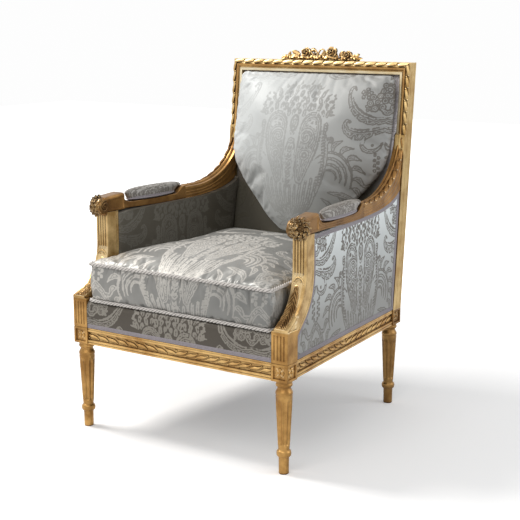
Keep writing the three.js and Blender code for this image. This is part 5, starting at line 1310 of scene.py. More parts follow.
def stroke_field(strokes):
    """The distance to the nearest stroke, less its half width, on a grid of whole millimetres."""
    field = np.full((REPEAT_TALL + 1, REPEAT_HALF + 1), 9.0)
    for start, stop in strokes:
        for shift in (-REPEAT_TALL, 0, REPEAT_TALL):
            a, b = np.array((start.x, start.y + shift)), np.array((stop.x, stop.y + shift))
            spread = max(start.z, stop.z) + 9
            low = np.maximum(np.floor(np.minimum(a, b) - spread), (0, REPEAT_TOP - REPEAT_TALL)).astype(int)
            high = np.minimum(np.ceil(np.maximum(a, b) + spread), (REPEAT_HALF, REPEAT_TOP)).astype(int)
            if (high <= low).any():
                continue
            x, z = np.meshgrid(np.arange(low[0], high[0] + 1), np.arange(high[1], low[1] - 1, -1))
            long = b - a
            share = np.clip(((x - a[0]) * long[0] + (z - a[1]) * long[1]) / max(1e-6, long @ long), 0, 1)
            gap = np.hypot(x - a[0] - share * long[0], z - a[1] - share * long[1])
            gap -= start.z + (stop.z - start.z) * share
            part = field[REPEAT_TOP - high[1]:REPEAT_TOP - low[1] + 1, low[0]:high[0] + 1]
            np.minimum(part, gap, out=part)
    return field

damask_field = np.clip(-np.maximum(stroke_field(figure), -stroke_field(lines)), -4, 9)

def weave(piece, across, up):
    """Stores how deep each point of a piece lies in the damask's figure, in millimetres."""
    x = np.abs((np.asarray(across) * 1000 + REPEAT_HALF) % (2 * REPEAT_HALF) - REPEAT_HALF)
    z = (REPEAT_TOP - np.asarray(up) * 1000) % REPEAT_TALL
    i, j = np.minimum(z.astype(int), REPEAT_TALL - 1), np.minimum(x.astype(int), REPEAT_HALF - 1)
    v, u = z - i, x - j
    depth = ((damask_field[i, j] * (1 - u) + damask_field[i, j + 1] * u) * (1 - v)
             + (damask_field[i + 1, j] * (1 - u) + damask_field[i + 1, j + 1] * u) * v)
    layer = piece.data.attributes.new("damask", "FLOAT", "POINT")
    layer.data.foreach_set("value", depth.astype(np.float32))

def vectors_of(mesh, kind):
    """The places or the ways of all points of a mesh."""
    values = np.empty(len(mesh.vertices) * 3)
    mesh.vertices.foreach_get(kind, values)
    return values.reshape(-1, 3)

# What the cloth shows: its satin ground, the duller figure, uneven dye and the threads; and painted light
# and shade, where along a given way the pattern's contrast gives way to a single tone, paler in painted light
# and darker in painted shade
satin, given, gives = new_group(
    "silk_damask",
    [("Ground", "Color", None), ("Figure", "Color", None), ("Fade way", "Vector", None),
     ("Fade start", "Float", 0.0), ("Fade end", "Float", 1.0), ("Least contrast", "Float", 1.0),
     ("Gloss", "Float", 0.36), ("Faded tone", "Float", 0.0)],
    [("Color", "Color", None), ("Roughness", "Float", None), ("Height", "Float", None)])
depth = add_node(satin, "Attribute", attribute_name="damask")
mask = add_node(satin, "MapRange", interpolation_type="SMOOTHSTEP", in_1=-0.7, in_2=0.7)
place = add_node(satin, "TexCoord")
# Painted light and shade: how far a point lies along the given way sets how much of the pattern shows against
# the painted tone
along_painted_light = add_node(satin, "VectorMath", operation="DOT_PRODUCT")
painted_light_share = add_node(satin, "MapRange", in_4=1.0)
ragged = add_node(satin, "TexNoise", in_Scale=150.0, in_Detail=3.0)
wander = add_node(satin, "Math", operation="MULTIPLY_ADD", in_1=6.0)
centred = add_node(satin, "Math", operation="SUBTRACT", in_1=3.0)
contour = add_node(satin, "Math", operation="SUBTRACT", in_1=4.6)
ridge = add_node(satin, "Math", operation="ABSOLUTE")
vein = add_node(satin, "Math", operation="SUBTRACT", in_1=0.85)
veined = add_node(satin, "Math", operation="MINIMUM")
cells = add_node(satin, "TexVoronoi", feature="DISTANCE_TO_EDGE", in_Scale=70.0)
lace = add_node(satin, "Math", operation="MULTIPLY_ADD", in_1=13.0, in_2=6.6)
laced = add_node(satin, "Math", operation="SUBTRACT")
figured = add_node(satin, "Math", operation="MINIMUM")
shown = add_node(satin, "Mix", data_type="FLOAT", clamp_factor=False)
cloudy = add_node(satin, "TexNoise", in_Scale=9.0, in_Detail=3.0)
cloudy_ramp = add_node(satin, "MapRange", in_1=0.3, in_2=0.7, in_3=0.93, in_4=1.06)
tone = add_node(satin, "Mix", data_type="RGBA", clamp_factor=False)
uneven = add_node(satin, "VectorMath", operation="SCALE")
dull = add_node(satin, "Math", operation="MULTIPLY_ADD", in_1=0.16)
stretch = add_node(satin, "VectorMath", operation="MULTIPLY", in_1=(1.0, 1.0, 0.22))
threads = add_node(satin, "TexNoise", in_Scale=900.0, in_Detail=1.0)
height = add_node(satin, "Math", operation="MULTIPLY_ADD", in_1=0.7)
join(satin, (place, "Object", ragged, "Vector"), (place, "Object", cells, "Vector"),
     (ragged, 0, wander, 0), (depth, "Fac", wander, 2), (wander, 0, centred, 0), (centred, 0, contour, 0),
     (contour, 0, ridge, 0), (ridge, 0, vein, 0), (vein, 0, veined, 0), (centred, 0, veined, 1),
     (cells, "Distance", lace, 0), (lace, 0, laced, 0), (centred, 0, laced, 1), (laced, 0, figured, 0),
     (veined, 0, figured, 1), (figured, 0, mask, "Value"), (place, "Object", along_painted_light, 0),
     (given, "Fade way", along_painted_light, 1), (along_painted_light, "Value", painted_light_share, "Value"),
     (given, "Fade start", painted_light_share, 1), (given, "Fade end", painted_light_share, 2),
     (given, "Least contrast", painted_light_share, 3), (given, "Faded tone", shown, 2), (mask, 0, shown, 3),
     (painted_light_share, 0, shown, 0), (given, "Ground", tone, 6), (given, "Figure", tone, 7), (shown, 0, tone, 0),
     (place, "Object", cloudy, "Vector"), (cloudy, 0, cloudy_ramp, "Value"), (tone, 2, uneven, 0),
     (cloudy_ramp, 0, uneven, "Scale"), (uneven, 0, gives, "Color"), (mask, 0, dull, 0),
     (given, "Gloss", dull, 2), (dull, 0, gives, "Roughness"), (place, "Object", stretch, 0),
     (stretch, 0, threads, "Vector"), (threads, 0, height, 0), (mask, 0, height, 2),
     (height, 0, gives, "Height"))

def silk(name, ground, woven, way=(0, 0, 1), start=0.0, end=1.0, least=1.0, metal=0.3, rough=0.40,
         faded=0.0):
    """Silk damask coloured as one part of the chair looks in its light, so its colours hold painted light and
    shade; its contrast may fade along a way into a painted light tone.
    """
    return look_finish(name, satin, metal, 0.25, 0.0004, in_Ground=(*ground, 1), in_Figure=(*woven, 1),
                       in_Fade_way=way, in_Fade_start=start, in_Fade_end=end, in_Least_contrast=least,
                       in_Gloss=rough, in_Faded_tone=faded)

def evaluated(thing):
    """A new mesh of an object as its modifiers leave it."""
    return bpy.data.meshes.new_from_object(thing.evaluated_get(bpy.context.evaluated_depsgraph_get()))

def tube_of(points, radius, sides=6, closed=True):
    """The mesh of a tube of a given radius along points."""
    line = bpy.data.curves.new("strand", "CURVE")
    line.dimensions = "3D"
    line.bevel_depth = radius
    line.bevel_resolution = sides // 2 - 2
    line.use_fill_caps = not closed
    spline = line.splines.new("POLY")
    spline.points.add(len(points) - 1)
    spline.points.foreach_set("co", np.column_stack([points, np.ones(len(points))]).ravel())
    spline.use_cyclic_u = closed
    strand = bpy.data.objects.new("strand", line)
    scene.collection.objects.link(strand)
    mesh = evaluated(strand)
    bpy.data.objects.remove(strand)
    bpy.data.curves.remove(line)
    return mesh

def take_mesh(shape, mesh, slot=1):
    """Takes a mesh into a shape in the finish of a slot, and removes it."""
    before = len(shape.faces)
    shape.from_mesh(mesh)
    recolour(shape, slot, before)
    bpy.data.meshes.remove(mesh)

def drawn_in(outline, distance):
    """A closed flat outline set back inwards by a distance; it runs anticlockwise."""
    line = np.asarray(outline)
    way = np.roll(line, -1, 0) - np.roll(line, 1, 0)
    way /= np.maximum(1e-9, np.linalg.norm(way, axis=1, keepdims=True))
    return line + np.column_stack([-way[:, 1], way[:, 0]]) * distance

def add_braid(shape, outline, place, closed=True):
    """Lays a gimp of two fine cords along a flat outline; place turns its points into the scene's."""
    for inset, radius in ((0.0024, 0.0024), (0.0064, 0.0024), (0.0100, 0.0022)):
        line = drawn_in(outline, inset) if closed else np.asarray(outline) + (0, inset)
        take_mesh(shape, tube_of(np.array([place(a, b) for a, b in line]), radius, sides=8, closed=closed))

braid, nodes, shader = new_finish("braid", Roughness=0.6)
place = add_node(nodes, "TexCoord")
fibres = add_node(nodes, "TexNoise", in_Scale=330.0, in_Detail=3.0)
tone = add_node(nodes, "Mix", data_type="RGBA", in_6=(0.20, 0.18, 0.19, 1), in_7=(0.36, 0.33, 0.36, 1))
bump = add_node(nodes, "Bump", in_Strength=0.5, in_Distance=0.0008)
join(nodes, (place, "Object", fibres, "Vector"), (fibres, 0, tone, 0), (tone, 2, shader, "Base Color"),
     (fibres, 0, bump, "Height"), (bump, 0, shader, "Normal"))

# The outside arm panels' silk: its pale bluish ground is a painted sheen, the satin's reflection of the white
# room, and lower down the pattern fades into a dark tone, painted shade towards the bottom
side_silk_painted_sheen = silk("side_silk_painted_sheen", (0.82, 0.87, 0.88), (0.150, 0.137, 0.120), start=0.36, end=0.63,
                 least=0.18, faded=0.94)
side_edge = ([(48.3, GIMP_FOOT), (300, GIMP_FOOT), (560, GIMP_FOOT)]
             + [((stile_front(z / 1000) - FRONT_Y) * 1000 - 0.4, z)
                for z in (GIMP_FOOT, *range(320, 640, 40))]
             + under_sweep[::-4] + [(300, 595.5), (140.3, 595.5), (140.3, 550)] + rear_of_post[::-4])
side_edge = [(a / 1000, b / 1000) for a, b in side_edge]

def outside_panel(side):
    def surface(u, w):
        z = lerp(PANEL_FOOT, PANEL_HEAD, w)
        front, rear = side_opening(z)
        y = lerp(front, rear, u)
        return on_side(side, 0.0072, FRONT_Y + y, z), Vector((side, SIDE_SLOPE, 0)).normalized()

    def crown(u, w):
        return 0.0020 + 0.0018 * soft_edge(u, 12) * soft_edge(w, 8)

    shape = relief(surface, 300, 190, crown, root=0.0032, plain_back=True)
    add_braid(shape, side_edge, lambda y, z: on_side(side, 0.0036, FRONT_Y + y, z))
    return shape

for side, label in SIDES:
    piece = finished(outside_panel(side), f"damask_arm_panel_{label}", side_silk_painted_sheen, braid)
    spots = vectors_of(piece.data, "co")
    weave(piece, spots[:, 1] - FRONT_Y - 0.423, spots[:, 2] - 0.510)
    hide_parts(f"outside_arm_panel_{label}")

# Inside arm upholstery: a pad under damask between the post and the inside back
def inside_panel(side):
    def surface(u, w):
        z = lerp(PAD_FOOT, PANEL_HEAD, w)
        front, rear = side_opening(z)
        rear = min(rear, back_pad_face(z) - 0.0006)
        front = min(front, rear - 0.001)
        spot = on_side(side, PAD_PLANE, FRONT_Y + lerp(front, rear, u), z)
        return spot, Vector((-side, -SIDE_SLOPE, 0)).normalized()

    def crown(u, w):
        return 0.0058 * soft_edge(u, 9) * soft_edge(w, 5)

    return relief(surface, 180, 100, crown, root=0.0300, plain_back=True)

# The inside arms' silk is painted near black, its figure a little lighter than its ground: painted shade for
# the inside arms, which stand in shadow
inner_silk_painted_shade = silk("inner_silk_painted_shade", (0.098, 0.088, 0.068), (0.145, 0.135, 0.112))
for side, label in SIDES:
    piece = finished(inside_panel(side), f"damask_inside_arm_{label}", inner_silk_painted_shade)
    spots = vectors_of(piece.data, "co")
    weave(piece, spots[:, 1] - FRONT_Y - 0.40, spots[:, 2] - 0.535)
    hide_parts(f"inside_arm_pad_{label}")

# Inside back: fixed upholstery between the stiles, full low down and lying back at the top; its
# silk is painted pale towards the top, where it faces the light, and near black lower down, a painted shade
# where the cushion and arms shadow it
def inside_back():
    def surface(u, w):
        z = lerp(PAD_FOOT, TOP_RAIL_BOTTOM - FIT, w)
        half = lerp(0.2676, 0.2736, between(z, 0.796, 0.803))
        y = back_pad_face(z) + 0.005 * (1 - math.sin(w * math.pi))
        return Vector((lerp(-half, half, u), FRONT_Y + y + 0.004, z)), Vector((0, -1, 0))

    def crown(u, w):
        return 0.0038 * soft_edge(u, 12) * soft_edge(w, 12)

    return relief(surface, 180, 190, crown, root=0.0125, plain_back=True)

# Painted light and shade on the inside back: a pale ground above, and from about 0.79 m down to 0.62 m a tone
# past the figure's that reaches near black, as painted shade
back_silk_painted_shade = silk("back_silk_painted_shade", (0.60, 0.575, 0.60), (0.44, 0.42, 0.43), start=0.62, end=0.79, least=0.1,
                 faded=3.45)
piece = finished(inside_back(), "damask_inside_back", back_silk_painted_shade)
spots = vectors_of(piece.data, "co")
weave(piece, spots[:, 0], spots[:, 2] - 0.80)
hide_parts("inside_back_pad")

# Outside back: damask over a thin board between the stiles, edged with gimp
def outside_back():
    half = BACK_HALF - STILE_WIDTH - FIT

    def surface(u, w):
        z = lerp(PANEL_FOOT, TOP_RAIL_BOTTOM - FIT, w)
        return Vector((lerp(-half, half, u), stile_rear(z) - 0.0056, z)), Vector((0, 1, 0))

    def crown(u, w):
        return 0.0020 + 0.0014 * soft_edge(u, 12) * soft_edge(w, 12)

    shape = relief(surface, 230, 270, crown, root=0.0036, plain_back=True)
    low, high = 0.2918, TOP_RAIL_BOTTOM - 0.0006
    level = (low + high) / 2
    edge = [(-half, low), (0, low), (half, low), (half, level), (half, high), (0, high), (-half, high),
            (-half, level)]
    add_braid(shape, edge, lambda x, z: Vector((x, stile_rear(z) - 0.0030, z)))
    return shape

rear_silk = silk("rear_silk", (0.50, 0.57, 0.60), (0.20, 0.19, 0.175))
piece = finished(outside_back(), "damask_outside_back", rear_silk, braid)
spots = vectors_of(piece.data, "co")
weave(piece, spots[:, 0], spots[:, 2] - 0.72)
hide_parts("outside_back_panel")

# Seat deck: padding on the webbing with a damask border that stands on the front rail
BORDER_SECTION = (
    (4.4, 291.5), (1.6, 305), (0.6, 328), (1.6, 350), (4.2, 357.6), (6.4, 361.6), (12, 364.8), (30, 365),
    (71, 365),
)

def deck_border():
    half = FRONT_HALF - BLOCK - FIT
    line = smooth_path([(0, y / 1000, z / 1000) for y, z in BORDER_SECTION], 10)

    def surface(u, w):
        k = min(len(line) - 1.001, w * (len(line) - 1))
        i = int(k)
        q = line[i].lerp(line[i + 1], k - i)
        tangent = (line[i + 1] - line[i]).normalized()
        return Vector((lerp(-half, half, u), FRONT_Y + q.y, q.z)), Vector((0, -tangent.z, tangent.y))

    return relief(surface, 300, 80, lambda u, w: -0.0002, root=0.012)

border = deck_border()
foot_reach = FRONT_HALF - BLOCK - 0.001
foot_edge = np.column_stack([np.linspace(-foot_reach, foot_reach, 30), np.full(30, PANEL_FOOT)])
add_braid(border, foot_edge, lambda x, z: Vector((x, deep(3.4), z)), closed=False)
DECK_FRONT, DECK_REAR = deep(60), deep(646)
DECK_LOW, DECK_INSET = 0.2937, 0.0114
take_in(border, drawn_out([[Vector((side * (side_x(y) - DECK_INSET), y, z)) for side, y in (
    (-1, DECK_FRONT), (1, DECK_FRONT), (1, DECK_REAR), (-1, DECK_REAR))] for z in (DECK_LOW, DECK_TOP)]))
# The deck's silk is painted near black, its figure lighter than its ground: painted shade under the cushion
deck_silk_painted_shade = silk("deck_silk_painted_shade", (0.070, 0.059, 0.046), (0.24, 0.222, 0.192))
piece = finished(border, "damask_seat_deck", deck_silk_painted_shade, braid)
spots = vectors_of(piece.data, "co")
up = np.where(spots[:, 2] > DECK_TOP - 0.0005, spots[:, 1] - FRONT_Y + 0.36, spots[:, 2])
weave(piece, spots[:, 0] + 0.02, up - 0.30)
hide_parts("seat_deck")

# Seat cushion: a boxed cushion, full and crowned, its sides drawn in between the corners. Its top
# and bottom seams are piped with a twisted cord.
SEAT_BASE = DECK_TOP + 0.0003
LOW_CORD = SEAT_BASE + 0.0052
TOP_CORD = SEAT_BASE + 0.106
SEAT_REAR = back_pad_face(SEAT_BASE) - 0.0003
SEAT_FRONT = 0.001
SEAT_INSET = 0.049

def seat_outline(inset, steps=7, along=24):
    """The cushion's outline in plan, drawn in between its corners; x in the scene, y as a depth."""
    radius = max(0.016 - inset, 0.0027)
    half = lambda y: side_x(FRONT_Y + y) - SEAT_INSET - inset
    front, rear = SEAT_FRONT + inset + radius, SEAT_REAR - inset - radius
    corners = ((-half(front) + radius, front), (half(front) - radius, front),
               (half(rear) - radius, rear), (-half(rear) + radius, rear))
    arcs = [[Vector((x + radius * math.cos(a), y + radius * math.sin(a)))
             for a in [math.pi + (corner + i / steps) * math.pi / 2 for i in range(steps + 1)]]
            for corner, (x, y) in enumerate(corners)]
    line = []
    for corner, arc in enumerate(arcs):
        start, stop = arc[-1], arcs[(corner + 1) % 4][0]
        inward = Vector((start.y - stop.y, stop.x - start.x)).normalized()
        line += arc + [start.lerp(stop, i / along) + inward * 0.004 * math.sin(math.pi * i / along)
                       for i in range(1, along)]
    return line

def seat_ring(inset, to_middle, z):
    middle = (SEAT_FRONT + SEAT_REAR) / 2
    return [Vector((p.x * (1 - to_middle), FRONT_Y + lerp(p.y, middle, to_middle), z))
            for p in seat_outline(inset)]

def seat_body():
    crown = lambda share: TOP_CORD + 0.006 + 0.034 * (1 - (1 - share) ** 2.2)
    rings = [seat_ring(0.009, share, SEAT_BASE + 0.0004) for share in (0.97, 0.6, 0.3, 0.05)]
    rings += [seat_ring(0.0095, 0, SEAT_BASE + 0.0012)]
    low, high = LOW_CORD + 0.0054, TOP_CORD - 0.0054
    rings += [seat_ring(0.0048 * (1 - 0.75 * bulge) + 0.002, 0, lerp(low, high, up)) for up, bulge in (
        (0, 0), (0.12, 0.5), (0.3, 0.9), (0.5, 1), (0.7, 0.9), (0.88, 0.5), (1, 0))]
    rings += [seat_ring(0.0095, 0, TOP_CORD), seat_ring(0.0095, 0, TOP_CORD + 0.005)]
    rings += [seat_ring(0.009, share, crown(share))
              for share in (0.04, 0.1, 0.18, 0.28, 0.42, 0.6, 0.8, 0.97)]
    return drawn_out(rings)

def refined(mesh):
    """A mesh with every face cut in four and smoothed."""
    holder = bpy.data.objects.new("holder", mesh)
    scene.collection.objects.link(holder)
    smoother = holder.modifiers.new("finer", "SUBSURF")
    smoother.levels = smoother.render_levels = 1
    finer = evaluated(holder)
    bpy.data.objects.remove(holder)
    return finer

PLUMP_VOXEL = 0.006
PLUMP_PRESSURE = 3.0

def plumped(shape, name, cap, held, shrink):
    """Fills a cushion: its shape is remeshed, blown up as cloth and kept within a cap; held(points)
    says how firmly the seams hold it. It gives the piece, and each point's place and way before."""
    rough = bpy.data.meshes.new(name)
    shape.to_mesh(rough)
    shape.free()
    body = bpy.data.objects.new(name, rough)
    scene.collection.objects.link(body)
    grain = body.modifiers.new("grain", "REMESH")
    grain.mode = "VOXEL"
    grain.voxel_size = PLUMP_VOXEL
    even = body.modifiers.new("even", "SMOOTH")
    even.iterations = 4
    even.factor = 0.5
    start = evaluated(body)
    body.modifiers.clear()
    body.data = start
    bpy.data.meshes.remove(rough)
    rest = vectors_of(start, "co")
    rest_normals = vectors_of(refined(start), "normal")
    finer_rest = vectors_of(refined(start), "co")
    seams = body.vertex_groups.new(name="seams")
    grip = np.round(np.clip(held(rest), 0, 1) * 8).astype(int)
    for level in range(1, 9):
        seams.add(np.flatnonzero(grip == level).tolist(), level / 8, "REPLACE")
    cloth = body.modifiers.new("cloth", "CLOTH")
    for setting, value in (
            ("quality", 6), ("mass", 0.25), ("tension_stiffness", 18), ("compression_stiffness", 18),
            ("shear_stiffness", 6), ("bending_stiffness", 0.35), ("use_pressure", True),
            ("uniform_pressure_force", PLUMP_PRESSURE), ("shrink_min", shrink),
            ("vertex_group_mass", "seams"), ("pin_stiffness", 1.0)):
        setattr(cloth.settings, setting, value)
    cloth.settings.effector_weights.gravity = 0
    cloth.collision_settings.use_collision = False
    cloth.point_cache.frame_start, cloth.point_cache.frame_end = 1, 22
    for count in range(1, 21):
        scene.frame_set(count)
    blown = evaluated(body)
    scene.frame_set(1)
    body.modifiers.clear()
    body.vertex_groups.clear()
    move = vectors_of(blown, "co") - rest
    bpy.data.meshes.remove(blown)
    reach = np.linalg.norm(move, axis=1, keepdims=True)
    move *= np.minimum(1, cap / np.maximum(reach, 1e-9))
    start.vertices.foreach_set("co", (rest + move).ravel())
    body.data = refined(start)
    body.data.shade_smooth()
    return body, finer_rest, rest_normals

def distance_to(points, line):
    """How far each point is from the nearest point of a line, worked out a few thousand at a time."""
    return np.concatenate([np.sqrt(((part[:, None, :] - line[None]) ** 2).sum(axis=2).min(axis=1))
                           for part in np.array_split(points, max(1, len(points) // 2000))])

seat_seam = np.array([(p.x, FRONT_Y + p.y) for p in seat_outline(0.006)])

def seat_held(points):
    """The seams run round the box at both cords, and the cushion's underside lies on the deck."""
    z = points[:, 2]
    grip = np.maximum(1 - np.abs(z - LOW_CORD) / 0.006, 1 - np.abs(z - TOP_CORD) / 0.006)
    grip[distance_to(points[:, :2], seat_seam) > 0.014] = 0
    grip[z < SEAT_BASE + 0.004] = 1
    return grip

def creases(seed, low, high, spacing, depth, reach):
    """Irregular folds along a seam: place, depth, half width, length and lean of each."""
    chance = np.random.default_rng(seed)
    places = np.cumsum(chance.uniform(0.55, 1.45, int((high - low) / spacing * 1.3)) * spacing) + low
    places = places[places < high - 0.01]
    count = len(places)
    return np.column_stack([places, chance.uniform(0.35, 1.0, count) * depth,
                            chance.uniform(0.0035, 0.0075, count),
                            chance.uniform(0.4, 1.3, count) * reach, chance.uniform(-0.35, 0.35, count)])

def folded(across, away, folds):
    """How deep the folds are at each point: across it along the seam, away it from the seam."""
    depth = np.zeros_like(across)
    for place, dip, breadth, long, lean in folds:
        side = (across - place - lean * away) / (breadth + 0.12 * np.abs(away))
        swell = 0.45 * np.exp(-((np.abs(side) - 1.9) / 0.9) ** 2)
        depth += dip * (np.exp(-side ** 2) - swell) * np.exp(-away / long)
    return depth

seat, seat_rest, seat_ways = plumped(seat_body(), "damask_seat_cushion", 0.010, seat_held, -0.02)
x, y, z = seat_rest.T
y = y - FRONT_Y
half = np.array([side_x(FRONT_Y + value) - SEAT_INSET for value in y])
boxed = (z < TOP_CORD) & (z > LOW_CORD)
on_top, on_front = z > TOP_CORD + 0.001, (y < 0.03) & boxed
on_flank = (np.abs(x) > half - 0.03) & (y >= 0.03) & boxed
across_seat, along_seat = (-0.31, 0.31), (0.0, 0.66)
pressed = np.zeros(len(x))
for shown, along, away, folds in (
        (on_front, x, TOP_CORD - z, creases(3, *across_seat, 0.027, 0.0085, 0.055)),
        (on_front, x, z - LOW_CORD, creases(5, *across_seat, 0.040, 0.0036, 0.025)),
        (on_flank, y, TOP_CORD - z, creases(7, *along_seat, 0.036, 0.0028, 0.035)),
        (on_top, x, y - 0.006, creases(11, *across_seat, 0.036, 0.0040, 0.060)),
        (on_top, y, half - np.abs(x), creases(13, *along_seat, 0.045, 0.0024, 0.045))):
    pressed += np.where(shown, folded(along, away, folds), 0)
edge = np.minimum(np.minimum(np.abs(z - TOP_CORD), np.abs(z - LOW_CORD)) / 0.006, 1)
places = vectors_of(seat.data, "co") - seat_ways * (pressed * edge)[:, None]
seat.data.vertices.foreach_set("co", places.ravel())
# The seat's silk has its figure paler than its ground, a painted sheen where light grazes the figure; towards
# its front right and lower edge it darkens with less contrast, a painted shade
seat_silk_painted_sheen = silk("seat_silk_painted_sheen", (0.262, 0.259, 0.245), (0.52, 0.50, 0.464), way=(-1, 1.5, 2),
                 start=0.10, end=0.45, least=0.5, metal=0.38, faded=-0.4)
seat.data.materials.append(seat_silk_painted_sheen)
facing = np.abs(seat_ways)
weave(seat, np.where(on_top | (facing[:, 1] > facing[:, 0]), x, y),
      np.where(on_top, y - 0.27, z - TOP_CORD - 0.10))
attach(seat, "seat_cushion")
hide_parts("seat_cushion_cover")

# The cords: three twisted strands of silk over a cotton core, sewn in round both seams
def twisted_cord(path, radius, pitch, name, finish, body):
    """Three strands laid round each other along a closed line."""
    path = np.array([tuple(p) for p in path])
    steps = np.concatenate([[0], np.cumsum(np.linalg.norm(np.roll(path, -1, 0) - path, axis=1))])
    turns = round(steps[-1] / pitch)
    count = turns * 16
    places = np.linspace(0, steps[-1], count, endpoint=False)
    closed = np.vstack([path, path[:1]])
    centres = np.column_stack([np.interp(places, steps, closed[:, i]) for i in range(3)])
    along = np.roll(centres, -2, 0) - np.roll(centres, 2, 0)
    along /= np.linalg.norm(along, axis=1, keepdims=True)
    up = np.array([[0.0, 0.0, 1.0]])
    out = np.cross(along, up)
    shape = bmesh.new()
    for strand in range(3):
        angle = (math.tau * (turns * np.arange(count) / count + strand / 3))[:, None]
        strand_line = centres + (up * np.sin(angle) + out * np.cos(angle)) * radius * 0.50
        take_mesh(shape, tube_of(strand_line, radius * 0.52), slot=0)
    return finished(shape, name, finish, body=body, sharp=70)

# The cord's colour is painted near black by ambient occlusion between its strands: painted shade in the
# grooves of the twist
cord_silk, nodes, shader = new_finish("cord_silk", Roughness=0.5)
place = add_node(nodes, "TexCoord")
fibres = add_node(nodes, "TexNoise", in_Scale=420.0, in_Detail=3.0)
painted_strand_shade = add_node(nodes, "AmbientOcclusion", samples=4, in_Distance=0.004)
depth = add_node(nodes, "MapRange", in_1=0.45, in_2=0.95)
tone = add_node(nodes, "Mix", data_type="RGBA", in_6=(0.06, 0.05, 0.045, 1), in_7=(0.60, 0.57, 0.54, 1))
bump = add_node(nodes, "Bump", in_Strength=0.4, in_Distance=0.0006)
join(nodes, (place, "Object", fibres, "Vector"), (painted_strand_shade, "AO", depth, "Value"), (depth, 0, tone, 0),
     (tone, 2, shader, "Base Color"), (fibres, 0, bump, "Height"), (bump, 0, shader, "Normal"))
for z, label in ((TOP_CORD, "top"), (LOW_CORD, "low")):
    line = [Vector((p.x, FRONT_Y + p.y, z)) for p in seat_outline(0.0052)]
    piece = twisted_cord(line, 0.0052, 0.033, f"twisted_{label}_cord", cord_silk, "seat_cushion")
    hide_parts(f"seat_cushion_{label}_cord")

# Back cushion: square shoulders, tapering to a rounded foot; two shaped faces seamed round the edge
PILLOW_HALF, PILLOW_TOP, PILLOW_FOOT = 0.2702, 0.968, 0.495
PILLOW_BULGE = 0.082
PILLOW_SHARES = (
    (0, 0), (0.14, 0), (0.25, 0.015), (0.42, 0.085), (0.58, 0.175), (0.75, 0.275), (0.87, 0.355),
    (0.945, 0.425), (0.985, 0.495), (1, 0.6), (1, 0.78), (1, 0.95), (0.985, 0.985), (0.945, 1), (0.88, 1),
    (0.5, 1), (0, 1),
)
pillow_line = np.array([(p.x, p.y) for p in smooth_path([(x, z, 0) for x, z in PILLOW_SHARES], 10)])
pillow_steps = np.concatenate([[0], np.cumsum(np.linalg.norm(np.diff(pillow_line, axis=0), axis=1))])

def pillow_seam(z):
    """The depth of the back cushion's seam at a height."""
    top = stile_front(PILLOW_TOP) - FRONT_Y - 0.003
    return lerp(back_pad_face(PILLOW_FOOT) - 0.0444, top, (z - PILLOW_FOOT) / (PILLOW_TOP - PILLOW_FOOT))

def pillow_ring(inset, to_middle, depth_at, count=112, boxed=1):
    middle = (PILLOW_TOP + PILLOW_FOOT) / 2
    turns = (np.arange(count) + 0.5) / (count / 2)
    reach = np.minimum(turns, 2 - turns) * pillow_steps[-1]
    across = np.sign(1 - turns) * np.interp(reach, pillow_steps, pillow_line[:, 0]) * (PILLOW_HALF - inset)
    up = lerp(PILLOW_FOOT + inset, PILLOW_TOP - inset, np.interp(reach, pillow_steps, pillow_line[:, 1]))
    up = lerp(up, middle, to_middle)
    return [Vector((x * (1 - to_middle ** boxed), FRONT_Y + depth_at(z), z)) for x, z in zip(across, up)]

def pillow_body():
    def rest(share):
        full = (1 - (1 - share) ** 2) ** 0.5
        return lambda z: lerp(pillow_seam(z), max(back_pad_face(z) - 0.0006, pillow_seam(z)), full)

    def front(share):
        full = (1 - (1 - share) ** 2) ** 0.8
        return lambda z: pillow_seam(z) - (PILLOW_BULGE - 0.008) * full

    inset = 0.001
    rings = [pillow_ring(inset, share, rest(share), boxed=3)
             for share in (0.99, 0.9, 0.7, 0.45, 0.25, 0.12, 0.05, 0.015)]
    rings += [pillow_ring(inset, 0, pillow_seam)]
    rings += [pillow_ring(inset, share, front(share))
              for share in (0.02, 0.05, 0.1, 0.17, 0.26, 0.38, 0.52, 0.7, 0.88, 0.98)]
    return drawn_out(rings)

pillow_edge = np.array([tuple(p) for p in pillow_ring(0.001, 0, pillow_seam, 240)])

def pillow_held(points):
    """The seam holds the edge, and the rear face lies on the inside back."""
    grip = (distance_to(points, pillow_edge) < 0.007).astype(float)
    behind = np.array([FRONT_Y + back_pad_face(z) - 0.003 for z in points[:, 2]])
    grip[points[:, 1] > behind] = 1
    return grip

pillow, pillow_rest, pillow_ways = plumped(pillow_body(), "damask_back_cushion", 0.012, pillow_held,
                                           -0.03)
x, y, z = pillow_rest.T
in_front = pillow_ways[:, 1] < 0.2
half = PILLOW_HALF - np.abs(x)
pressed = np.where(in_front, folded(z, half, creases(17, 0.56, 0.95, 0.040, 0.0026, 0.035)), 0)
pressed += np.where(in_front, folded(x, PILLOW_TOP - z, creases(19, -0.26, 0.26, 0.034, 0.0026, 0.030)), 0)
places = vectors_of(pillow.data, "co") - pillow_ways * pressed[:, None]
pillow.data.vertices.foreach_set("co", places.ravel())
# The back cushion's silk is painted pale on its left, where the pattern fades into a light tone, as painted
# light from the lamp on the left; its right keeps the darker ground, a painted shade
pillow_silk_painted_light = silk("pillow_silk_painted_light", (0.305, 0.307, 0.298), (0.150, 0.139, 0.124), way=(1, 0, 0),
                   start=-0.20, end=0.24, least=0.26, metal=0.06, rough=0.56, faded=-1.9)
pillow.data.materials.append(pillow_silk_painted_light)
weave(pillow, x + 0.008, z - 0.825)
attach(pillow, "back_cushion")
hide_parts("back_cushion_cover")

